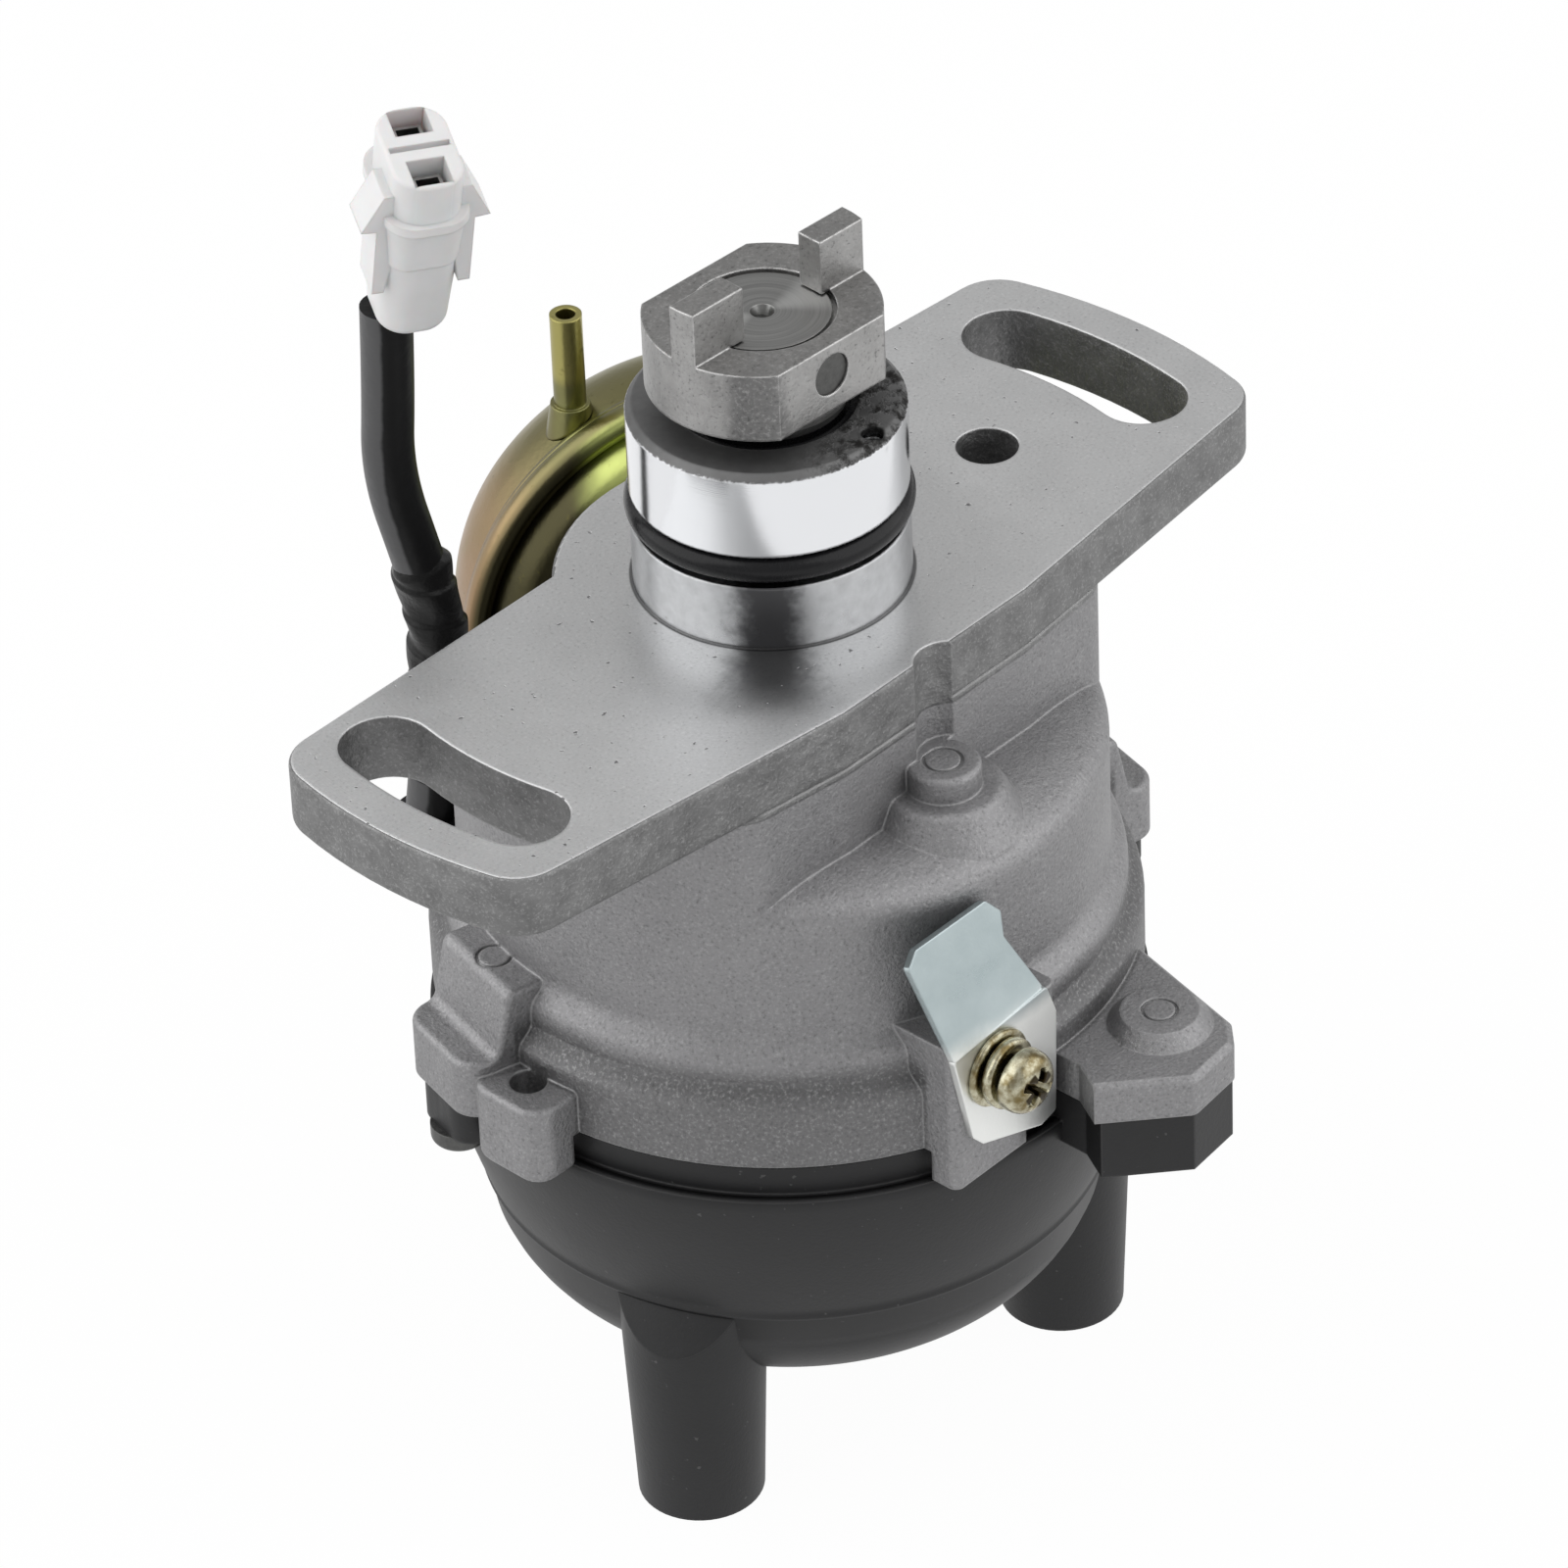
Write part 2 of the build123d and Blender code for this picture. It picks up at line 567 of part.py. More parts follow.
def cap_screws():
    """Three screws up through the cap's ears into the housing."""
    group = Part()
    for angle in SIDE_EAR_ANGLES:
        x, y = spoke(SIDE_SCREW_R, angle)
        group += Pos(x, y, RIM_Z - 5.2) * pan_screw(3.4, 2.0, 10.0)
    group += corner_place(RIM_Z - CORNER_DROP) * pan_screw(3.4, 2.0, CORNER_DROP + 4.0)
    return group


def plug_electrodes():
    """Brass posts of the plug towers with the blades that face the rotor."""
    group = Part()
    for angle in tower_angles():
        post = rod(2.0, TOWER_END_Z + TOWER_BORE_DEEP, CAP_STEP_Z + 5.4, TOWER_RING_R, 0)
        outer = CAP_STEP_R - CAP_WALL_T - SEAT_GAP
        blade = block(BLADE_INNER_R, outer, -2.0, 2.0, CAP_STEP_Z + 5.0, CAP_STEP_Z + 12.0)
        group += Rot(0, 0, angle) * (post + blade)
    return group


def coil_terminal():
    """Brass post in the middle tower."""
    return rod(2.0, TOWER_END_Z + 13.5, DOME_END_Z + 7.3)


def carbon_button():
    """Carbon button that rides on the rotor."""
    return rod(2.6, CAP_STEP_Z - 6.0, CAP_STEP_Z + 6.6)


def carbon_spring():
    """Small spring behind the carbon button."""
    return coil(1.7, 0.3, DOME_END_Z + 7.3, CAP_STEP_Z - 6.0, 3)


# ---------------------------------------------------------------- drive shaft

def drive_shaft():
    """Shaft with a head in the coupling and a pilot for the timing sleeve."""
    shaft = rod(SHAFT_R, CAM_TOP + 0.6, COUPLING_LOW + 1)
    shaft += rod(HEAD_R, COUPLING_LOW, COUPLING_TOP - 0.2)
    shaft += rod(PILOT_R, SLEEVE_END + 2.5, CAM_TOP + 1)
    shaft -= cone(0.4, 1.5, COUPLING_TOP - 2.4, COUPLING_TOP)
    shaft -= Rot(0, 0, COUPLING_TURN) * front_rod(CROSS_PIN_R, 0, cross_pin_z(), -20, 20)
    return shaft


def cross_pin_z():
    """Height of the coupling's cross pin."""
    return (COUPLING_LOW + COUPLING_TOP) / 2 + 0.4


def drive_coupling():
    """Coupling disc with two flats and two lugs set off the centre line."""
    disc = rod(COUPLING_R, COUPLING_LOW, COUPLING_TOP)
    disc &= block(-20, 20, -COUPLING_FLAT, COUPLING_FLAT, COUPLING_LOW, COUPLING_TOP)
    hub = rod(10.0, COUPLING_LOW - 1.0, COUPLING_LOW)
    low = -LUG_SHIFT - LUG_WIDE / 2
    bars = block(-20, -5.6, low, low + LUG_WIDE, COUPLING_TOP - 1, LUG_TOP)
    bars += block(6.6, 20, low, low + LUG_WIDE, COUPLING_TOP - 1, LUG_TOP)
    bars &= rod(COUPLING_R, COUPLING_TOP - 1, LUG_TOP)
    body = disc + hub + bars
    body -= rod(HEAD_R, COUPLING_LOW, COUPLING_TOP)
    body -= rod(SHAFT_R, COUPLING_LOW - 2, COUPLING_LOW + 1)
    body -= rod(HEAD_R + 0.6, COUPLING_TOP - 0.8, COUPLING_TOP)
    body -= front_rod(CROSS_PIN_R, 0, cross_pin_z(), -20, 20)
    return Rot(0, 0, COUPLING_TURN) * body


def coupling_pin():
    """Cross pin through the coupling and the shaft's head."""
    length = COUPLING_FLAT - 0.3
    pin = front_rod(CROSS_PIN_R, 0, cross_pin_z(), -length, length)
    return Rot(0, 0, COUPLING_TURN) * pin


def thrust_washers():
    """Steel and fibre washers at both ends of the barrel."""
    step = 1.0
    group = tube(9.6, SHAFT_R, COUPLING_LOW - 2 * step, COUPLING_LOW - step)
    group += tube(9.2, SHAFT_R, BARREL_TOP + 0.2, COUPLING_LOW - 2 * step)
    group += tube(10.5, SHAFT_R, GOVERNOR_Z + GOVERNOR_T, CEILING_Z - 0.2)
    return group


def governor_plate():
    """Plate on the shaft with the two weight pivots."""
    body = tube(GOVERNOR_R, SHAFT_R, GOVERNOR_Z, GOVERNOR_Z + GOVERNOR_T)
    for side in (1, -1):
        body += rod(PIVOT_PIN_R, WEIGHT_TOP - WEIGHT_T - 0.4, GOVERNOR_Z + 1, 0, side * PIVOT_R)
    return body


def governor_weight():
    """Curved fly weight with its pivot hole, drive pin and spring post."""
    low = WEIGHT_TOP - WEIGHT_T
    ring = tube(22.0, 10.2, low, WEIGHT_TOP)
    wedge = plate([(0, 0), (40, -52), (60, 0), (40, 50), (10, 40)], low, WEIGHT_TOP)
    body = (ring & wedge) + rod(4.4, low, WEIGHT_TOP, 0, PIVOT_R)
    body += rod(2.6, low, WEIGHT_TOP, 0, DRIVE_PIN_AT)
    body += block(-2.4, 4, DRIVE_PIN_AT, PIVOT_R, low, WEIGHT_TOP)
    body += rod(DRIVE_PIN_R, CAM_TOP - CAM_T - 0.5, low + 0.5, 0, DRIVE_PIN_AT)
    body += rod(0.9, SPRING_Z - 1.2, low + 0.5, 15.2, -14.0)
    body -= rod(PIVOT_PIN_R + RUN_GAP, low - 1, WEIGHT_TOP + 1, 0, PIVOT_R)
    return body


# ---------------------------------------------------------------- timing sleeve

def cam_sleeve():
    """Sleeve on the shaft's pilot with the slotted arms the weights turn."""
    body = rod(SLEEVE_R, SLEEVE_END, CAM_TOP) + rod(5.4, SLEEVE_END - 8, SLEEVE_END)
    arms = rod(15.4, CAM_TOP - CAM_T, CAM_TOP)
    arms &= block(-6.6, 6.6, -20, 20, CAM_TOP - CAM_T, CAM_TOP)
    for side in (1, -1):
        reach = side * 20
        inner = side * (DRIVE_PIN_AT - 2.2)
        low, high = min(reach, inner), max(reach, inner)
        slot_half = DRIVE_PIN_R + 0.3
        arms -= block(-slot_half, slot_half, low, high, CAM_TOP - CAM_T - 1, CAM_TOP + 1)
        post = rod(0.9, SPRING_Z - 1.2, CAM_TOP - 1, -side * -4.4, side * -12.6)
        arms += post
    body += arms
    body -= rod(PILOT_R + RUN_GAP, SLEEVE_END + 1.5, CAM_TOP + 1)
    return body


def reluctor():
    """Three-toothed trigger wheel pressed on the sleeve."""
    high = RELUCTOR_Z + RELUCTOR_T
    body = rod(SLEEVE_R + 1.6, RELUCTOR_Z, high)
    for angle in tower_angles():
        tooth = block(0, TOOTH_R, -1.6, 1.6, RELUCTOR_Z, high)
        body += Rot(0, 0, angle + 29.3) * tooth
    return body - rod(SLEEVE_R, RELUCTOR_Z - 1, high + 1)


def rotor_arm():
    """Moulded rotor on the sleeve's end."""
    top = SLEEVE_END - 0.1
    face = CAP_STEP_Z + 8.0
    body = rod(8.6, face, top)
    body += block(-13, 22.5, -5.5, 5.5, face, face + 5.0)
    body += block(8, 22.5, -1.5, 1.5, face + 4, face + 11)
    body -= rod(5.4, SLEEVE_END - 8.2, top + 1)
    return Rot(0, 0, TOWER_FIRST_ANGLE) * body


def rotor_contact():
    """Brass blade under the rotor arm."""
    face = CAP_STEP_Z + 8.0
    blade = block(-4, BLADE_INNER_R - 0.8, -2.5, 2.5, face - 1.2, face)
    return Rot(0, 0, TOWER_FIRST_ANGLE) * blade


def governor_springs():
    """Two return springs between the weights and the sleeve's arms."""
    length = hypot(15.2 - 4.4, 14.0 - 12.6) - 1.8
    angle = degrees(atan2(-14.0 + 12.6, 15.2 - 4.4))
    spring = Rot(0, 90, 0) * coil(1.0, 0.28, 0, length, 4)
    placed = Pos(4.4, -12.6, SPRING_Z) * Rot(0, 0, angle) * Pos(0.9, 0, 0) * spring
    return placed + Rot(0, 0, 180) * placed


# ---------------------------------------------------------------- pickup

def base_plate():
    """Fixed plate on the bowl's ledge with a collar that guides the pickup plate."""
    low = LEDGE_Z - BASE_T
    body = tube(LOWER_BORE_R - 0.2, COLLAR_R - 1.5, low, LEDGE_Z)
    body += tube(COLLAR_R, COLLAR_R - 1.5, low - PICKUP_GAP - PICKUP_T - 0.6, low)
    for angle in BASE_SCREW_ANGLES:
        x, y = spoke(BASE_SCREW_R, angle)
        body -= rod(1.3, low - 1, LEDGE_Z + 1, x, y)
    return body


def base_screws():
    """Three small screws that hold the base plate."""
    group = Part()
    for angle in BASE_SCREW_ANGLES:
        x, y = spoke(BASE_SCREW_R, angle)
        group += Pos(x, y, LEDGE_Z - BASE_T) * pan_screw(BASE_SCREW_HEAD_R, 1.2, 6.0)
    return group


def pickup_plate():
    """Plate that carries the pickup and turns on the collar."""
    high = LEDGE_Z - BASE_T - PICKUP_GAP
    body = tube(PICKUP_R, COLLAR_R + RUN_GAP, high - PICKUP_T, high)
    angle = CANISTER_AZ - 90 - LINK_SWING / 2
    x, y = spoke(LINK_ARM, angle)
    body += rod(LINK_PIN_R, link_z() - LINK_T - 0.6, high - 0.5, x, y)
    return body


def link_z():
    """Height of the vacuum link's middle."""
    return CANISTER_Z


def pickup_core():
    """Core and magnet bracket that face the trigger wheel."""
    high = LEDGE_Z - BASE_T - PICKUP_GAP - PICKUP_T
    tip = TOOTH_R + AIR_GAP
    body = block(tip, 27.0, -2.0, 2.0, COIL_Z - 1.5, COIL_Z + 1.5)
    body += block(25.0, 28.5, -5.0, 5.0, COIL_Z - 3.0, high)
    return Rot(0, 0, COIL_ANGLE) * body


def pickup_coil():
    """Wound coil round the core."""
    coil_body = Pos(15.0, 0, COIL_Z) * Rot(0, 90, 0) * Cylinder(5.2, 9.2, align=RISE)
    waist = radial_rod(5.6, 16.2, 23.0, COIL_Z) - radial_rod(4.4, 16, 23.2, COIL_Z)
    coil_body = coil_body - waist
    coil_body -= block(10, 27.0, -2.0, 2.0, COIL_Z - 1.5, COIL_Z + 1.5)
    return Rot(0, 0, COIL_ANGLE) * coil_body


# ---------------------------------------------------------------- vacuum canister

def shell_outline():
    """Outer (radius, distance out) points of the dome, from the seam to its end."""
    rim = CANISTER_R
    points = [(rim, -1.8), (rim, 1.8), (rim - 1.3, 2.4), (rim - 1.8, 6.0), (rim - 2.5, 10.0)]
    points += [(rim - 4.2, 14.0), (rim - 7.7, 17.5), (rim - 13.0, 19.5), (rim - 21, 20.3)]
    return points + [(0, 20.5)]


def outer_shell():
    """Pressed dome whose edge is rolled over the inner shell."""
    rim = CANISTER_R
    points = [(rim - 2.3, -1.8)] + shell_outline()
    points += [(0, 19.5), (rim - 21, 19.3), (rim - 13.6, 18.5), (rim - 8.4, 16.7)]
    points += [(rim - 5.1, 13.5), (rim - 3.5, 9.8), (rim - 2.8, 6.0), (rim - 2.4, 0.6)]
    points += [(rim - 0.8, 0.6), (rim - 0.8, -1.0), (rim - 2.3, -1.0)]
    body = turned(points)
    hole = Pos(NIPPLE_SIDE, 30, NIPPLE_OUT) * Rot(90, 0, 0) * Cylinder(NIPPLE_R, 20, align=RISE)
    return canister_plane() * (body - hole)


def inner_shell():
    """Shallow cup on the housing side."""
    rim = CANISTER_R
    points = [(rim - 0.8, -1.0), (rim - 2.8, -1.0), (rim - 3.4, -4.6), (rim - 5.8, -7.0)]
    points += [(4.0, -7.0), (4.0, -6.0), (rim - 6.2, -6.0), (rim - 4.4, -4.2)]
    points += [(rim - 3.8, 0.0), (rim - 0.8, 0.0)]
    return canister_plane() * turned(points)


def diaphragm():
    """Rubber diaphragm held in the seam."""
    rim = CANISTER_R
    points = [(rim - 0.8, 0.0), (rim - 0.8, 0.6), (rim - 4.6, 0.6), (rim - 6.5, 2.0)]
    points += [(rim - 9.0, 2.0), (rim - 11.5, 0.6), (2.4, 0.6), (2.4, 0.0)]
    points += [(rim - 11.2, 0.0), (rim - 8.8, 1.4), (rim - 6.7, 1.4), (rim - 4.4, 0.0)]
    return canister_plane() * turned(points)


def vacuum_spring():
    """Return spring between the diaphragm and the dome."""
    return canister_plane() * coil(8.0, 0.6, 1.6, 19.2, 4)


def vacuum_rod():
    """Rod with its clamp discs and the flat link to the pickup plate."""
    discs = rod(14.0, -0.8, -0.05) + rod(14.0, 0.65, 1.4)
    body = discs + rod(2.0, -15.0, 1.4)
    body = canister_plane() * body
    reach = CANISTER_SIDE
    pin_side = -LINK_ARM * cos(radians(LINK_SWING / 2))
    near = pin_side + 2.9
    far = pin_side - 2.9
    end = CANISTER_OUT - 12.0
    points = [(end, reach - 2.0), (end, reach + 2.0), (end - 10.5, reach + 2.0), (18.0, near)]
    points += [(-5.0, near), (-5.0, far), (20.0, far), (end - 8.0, reach - 2.0)]
    link = plate(points, link_z() - LINK_T / 2, link_z() + LINK_T / 2)
    start = -LINK_ARM * sin(radians(LINK_SWING / 2))
    hole_r = LINK_PIN_R + 0.1
    hole = rod(hole_r, link_z() - 2, link_z() + 2, start, pin_side)
    hole += block(start - hole_r, start + hole_r, pin_side - 0.5, pin_side, link_z() - 2, link_z() + 2)
    return body + Rot(0, 0, CANISTER_AZ) * (link - hole)


def vacuum_nipple():
    """Hose nipple on the dome with a flared foot."""
    foot = sqrt((CANISTER_R - 2.2) ** 2 - NIPPLE_SIDE ** 2)
    spigot = Pos(0, 0, 0) * rod(NIPPLE_R, -4.0, NIPPLE_TALL)
    collar = cone(3.6, 2.4, -4.0, 3.0)
    upright = Pos(NIPPLE_SIDE, foot, NIPPLE_OUT) * Rot(-90, 0, 0)
    solid_dome = turned([(0, -1.8)] + shell_outline())
    body = (upright * collar) - solid_dome
    body += upright * spigot
    body -= upright * rod(NIPPLE_BORE_R, -5.0, NIPPLE_TALL + 1)
    return canister_plane() * body


def canister_bracket():
    """Plate between the canister and the housing's pad."""
    side = CANISTER_SIDE
    near, far = CANISTER_PAD_OUT, CANISTER_OUT - 7.0
    body = block(near, far, side - 15, side + 15, RIM_Z + 3, RIM_Z + 23)
    body -= block(near - 1, far + 1, side - 9, side + 5, CANISTER_Z - 3, CANISTER_Z + 3)
    for place in (side - 12, side + 9):
        body -= Pos(0, place, 0) * radial_rod(1.9, near - 1, far + 1, CANISTER_SCREW_Z)
    return Rot(0, 0, CANISTER_AZ) * body


def canister_screws():
    """Two screws from inside the bowl into the canister's bracket."""
    group = Part()
    for side in (CANISTER_SIDE - 12, CANISTER_SIDE + 9):
        seat = sqrt(LOWER_BORE_R ** 2 - (abs(side) + 3.2) ** 2) - 0.1
        screw = Rot(0, 90, 0) * pan_screw(3.0, 1.9, CANISTER_PAD_OUT + 1.6 - seat)
        group += Rot(0, 0, CANISTER_AZ) * Pos(seat, side, CANISTER_SCREW_Z) * screw
    return group


# ---------------------------------------------------------------- harness bracket

def harness_bracket():
    """Bent sheet bracket on the front pad, with a leaning tab above its fold."""
    face = PAD_FACE_Y
    lower = [(-7.0, 4.6), (-4.0, -8.1), (-2.4, -9.8), (7.6, -13.2), (10.2, -12.5)]
    lower += [(10.6, 1.6), (9.0, 5.9)]
    outline = fillet(make_face(Polyline(*lower, close=True)).vertices(), 0.5)
    sheet = Pos(BRACKET_SCREW_X, face, BRACKET_SCREW_Z) * extrude(Plane.XZ * outline, 1.0)
    tab = [(-7.0, -0.5), (-9.6, 13.0), (-7.8, 14.6), (4.0, 14.6), (5.8, 12.4)]
    tab += [(5.2, 9.4), (8.8, 0.8)]
    upper = fillet(make_face(Polyline(*tab, close=True)).vertices(), 0.5)
    fold = Pos(BRACKET_SCREW_X, face - 1.0, BRACKET_SCREW_Z + 5.0)
    body = sheet + fold * Rot(90 - BRACKET_LEAN, 0, 0) * extrude(upper, -1.0)
    return body - front_rod(2.2, BRACKET_SCREW_X, BRACKET_SCREW_Z, face - 5, face + 5)


def flat_washer():
    """Flat washer of the bracket screw."""
    face = PAD_FACE_Y - 1.0
    body = front_rod(4.7, BRACKET_SCREW_X, BRACKET_SCREW_Z, face - 0.8, face)
    return body - front_rod(2.1, BRACKET_SCREW_X, BRACKET_SCREW_Z, face - 2, face + 1)


def spring_washer():
    """Split spring washer of the bracket screw."""
    face = PAD_FACE_Y - 1.8
    body = front_rod(3.7, BRACKET_SCREW_X, BRACKET_SCREW_Z, face - 1.2, face)
    body -= front_rod(2.1, BRACKET_SCREW_X, BRACKET_SCREW_Z, face - 2, face + 1)
    gap = block(-0.35, 0.35, -2, 1, 1.0, 5.0)
    return body - Pos(BRACKET_SCREW_X, face, BRACKET_SCREW_Z) * Rot(0, 25, 0) * gap


def bracket_screw():
    """Cross-head screw that holds the harness bracket."""
    face = PAD_FACE_Y - 3.0
    screw = Rot(-90, 0, 0) * pan_screw(3.9, 1.95, BRACKET_SCREW_LONG)
    return Pos(BRACKET_SCREW_X, face, BRACKET_SCREW_Z) * screw


# ---------------------------------------------------------------- lead

def lead_points():
    """Corner points of the lead's middle line, from the grommet to the plug."""
    offsets = [(0.0, 0.0, 0.0), (0.6, -1.3, 20.9), (0.5, -1.5, 33.9), (-1.7, 0.9, 53.9)]
    offsets.append(PLUG_REAR_OFFSET)
    return [tuple(a + b for a, b in zip(lead_exit(), offset)) for offset in offsets]


def lead_radii(points):
    """Bend radius at each inner corner."""
    radii = []
    for before, here, after in zip(points, points[1:], points[2:]):
        first = Vector(here) - Vector(before)
        second = Vector(after) - Vector(here)
        half = radians(first.get_angle(second)) / 2
        radii.append(0.45 * min(first.length, second.length) / tan(half))
    return radii


def pickup_lead():
    """Sleeved pair of wires from the grommet to the plug."""
    points = lead_points()
    path = FilletPolyline(*points, radius=lead_radii(points))
    section = Plane(origin=path @ 0, z_dir=path % 0) * Circle(LEAD_R)
    return sweep(section, path=path)


def lead_grommet():
    """Elbow grommet in the bowl's wall."""
    x, y, z = lead_exit()
    body = rod(GROMMET_R, z - 10, z, x, y)
    elbow = radial_rod(GROMMET_NECK_R, LOWER_BORE_R - 1.5, LEAD_EXIT_R, z - 5.5)
    return body + Rot(0, 0, LEAD_EXIT_ANGLE) * elbow


def rounded_block(wide, deep, low, high, radius, shrink=0.0):
    """Upright block with rounded corners that narrows towards its lower end."""
    upper = Pos(0, 0, high) * RectangleRounded(wide, deep, radius)
    if not shrink:
        return extrude(upper, low - high)
    lower = Pos(0, 0, low) * RectangleRounded(wide - 2 * shrink, deep - 2 * shrink, radius - shrink)
    return loft([lower, upper])


def plug_housing():
    """White two-way plug: tapered boot, body, collar, nose and two side wings."""
    boot = rounded_block(10.0, 11.2, 0, BOOT_LONG + 1, 4.2, 0.9)
    boot = fillet(boot.edges().group_by(Axis.Z)[0], 1.6)
    body = boot + rounded_block(9.4, PLUG_DEEP, BOOT_LONG - 1, COLLAR_AT, 3.0, 0.6)
    body += rounded_block(PLUG_WIDE + 1.8, PLUG_DEEP + 1.4, COLLAR_AT, COLLAR_AT + 1.3, 3.6)
    nose = rounded_block(PLUG_WIDE, PLUG_DEEP, COLLAR_AT + 1, PLUG_LONG, 3.4)
    body += fillet(nose.edges().group_by(Axis.Z)[-1], 0.5)
    reach = PLUG_WIDE / 2 + 3.4
    wing = [(PLUG_WIDE / 2 - 1, PLUG_LONG - 3.0), (PLUG_WIDE / 2 + 1.0, PLUG_LONG - 3.0)]
    wing += [(reach, PLUG_LONG - 8.0), (reach - 1.8, PLUG_LONG - 8.2), (reach - 1.8, 7.6)]
    wing += [(reach - 3.2, 7.6), (PLUG_WIDE / 2 - 1, COLLAR_AT - 3)]
    rib = extrude(Plane.XZ * make_face(Polyline(*wing, close=True)), 2.4, both=True)
    rib = Pos(0, -1.8, 0) * rib
    body += rib + rib.mirror(Plane.YZ)
    for side in (1, -1):
        cavity = Pos(0, side * PIN_PITCH / 2, PLUG_LONG - CAVITY_DEEP) * Box(4.4, 4.0, 12, align=RISE)
        body -= cavity
    body -= Pos(0, 0, PLUG_LONG - 1.0) * Box(PLUG_WIDE - 1.2, 0.8, 3, align=RISE)
    return plug_plane() * body


def plug_terminals():
    """Two metal sockets inside the plug."""
    group = Part()
    for side in (1, -1):
        socket = Box(3.4, 2.6, 7.0, align=RISE) - Box(2.6, 1.8, 20, align=RISE)
        group += Pos(0, side * PIN_PITCH / 2, PLUG_LONG - CAVITY_DEEP) * socket
    return plug_plane() * group


BUILDERS = {
    "housing": housing,
    "barrel_ring": barrel_ring,
    "bushes": bushes,
    "shaft_seal": shaft_seal,
    "cap": cap,
    "cap_gasket": cap_gasket,
    "cap_screws": cap_screws,
    "plug_electrodes": plug_electrodes,
    "coil_terminal": coil_terminal,
    "carbon_button": carbon_button,
    "carbon_spring": carbon_spring,
    "drive_shaft": drive_shaft,
    "drive_coupling": drive_coupling,
    "coupling_pin": coupling_pin,
    "thrust_washers": thrust_washers,
    "governor_plate": governor_plate,
    "cam_sleeve": cam_sleeve,
    "reluctor": reluctor,
    "rotor_arm": rotor_arm,
    "rotor_contact": rotor_contact,
    "governor_springs": governor_springs,
    "base_plate": base_plate,
    "base_screws": base_screws,
    "pickup_plate": pickup_plate,
    "pickup_core": pickup_core,
    "pickup_coil": pickup_coil,
    "outer_shell": outer_shell,
    "inner_shell": inner_shell,
    "diaphragm": diaphragm,
    "vacuum_spring": vacuum_spring,
    "vacuum_rod": vacuum_rod,
    "vacuum_nipple": vacuum_nipple,
    "canister_bracket": canister_bracket,
    "canister_screws": canister_screws,
    "harness_bracket": harness_bracket,
    "flat_washer": flat_washer,
    "spring_washer": spring_washer,
    "bracket_screw": bracket_screw,
    "pickup_lead": pickup_lead,
    "lead_grommet": lead_grommet,
    "plug_housing": plug_housing,
    "plug_terminals": plug_terminals,
}


def weight_pair():
    """The two fly weights, alike and half a turn apart."""
    first = governor_weight()
    return {"governor_weight_a": first, "governor_weight_b": Rot(0, 0, 180) * first}


os.makedirs("parts", exist_ok=True)
pieces = {name: build() for name, build in BUILDERS.items()}
pieces.update(weight_pair())
for name, piece in pieces.items():
    export_step(piece, "parts/" + name + ".step")
    print(name, "solids", len(piece.solids()), "volume", round(piece.volume, 1))
print("lead bend radii", [round(r, 1) for r in lead_radii(lead_points())])
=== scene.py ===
import math

import bmesh
import bpy
import numpy as np
from mathutils import Euler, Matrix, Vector


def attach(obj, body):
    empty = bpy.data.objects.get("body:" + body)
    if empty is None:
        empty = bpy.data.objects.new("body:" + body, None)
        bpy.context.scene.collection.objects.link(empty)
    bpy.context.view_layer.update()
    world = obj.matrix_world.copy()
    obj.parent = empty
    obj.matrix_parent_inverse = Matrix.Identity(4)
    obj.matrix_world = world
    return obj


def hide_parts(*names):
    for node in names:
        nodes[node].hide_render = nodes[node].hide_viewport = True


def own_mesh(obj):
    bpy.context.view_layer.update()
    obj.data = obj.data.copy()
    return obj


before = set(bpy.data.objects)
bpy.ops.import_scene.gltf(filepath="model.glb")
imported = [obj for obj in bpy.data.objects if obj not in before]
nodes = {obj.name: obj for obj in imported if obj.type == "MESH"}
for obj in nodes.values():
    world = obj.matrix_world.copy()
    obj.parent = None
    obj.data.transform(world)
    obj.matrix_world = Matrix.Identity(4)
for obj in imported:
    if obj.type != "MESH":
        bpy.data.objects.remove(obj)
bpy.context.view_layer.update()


# ---------------------------------------------------------------- cast body
# The body is one aluminium casting: barrel, slotted flange, neck and bowl. It is
# shot-blasted, and then the barrel and the top of the flange are turned bright.

class Value:
    """One output socket. Python's operators on it add Math nodes to its tree."""

    def __init__(self, shading, socket):
        self.shading = shading
        self.socket = socket

    def math(self, operation, *terms):
        """Math node of that operation on the terms, in their order."""
        return self.shading.node("ShaderNodeMath", {"operation": operation}, dict(enumerate(terms)))

    def __add__(self, other):
        return self.math("ADD", self, other)

    def __radd__(self, other):
        return self.math("ADD", other, self)

    def __sub__(self, other):
        return self.math("SUBTRACT", self, other)

    def __rsub__(self, other):
        return self.math("SUBTRACT", other, self)

    def __mul__(self, other):
        return self.math("MULTIPLY", self, other)

    def __rmul__(self, other):
        return self.math("MULTIPLY", other, self)

    def __truediv__(self, other):
        return self.math("DIVIDE", self, other)

    def __pow__(self, other):
        return self.math("POWER", self, other)

    def __abs__(self):
        return self.math("ABSOLUTE", self)

    def least(self, other):
        """The smaller of the two."""
        return self.math("MINIMUM", self, other)

    def most(self, other):
        """The larger of the two."""
        return self.math("MAXIMUM", self, other)


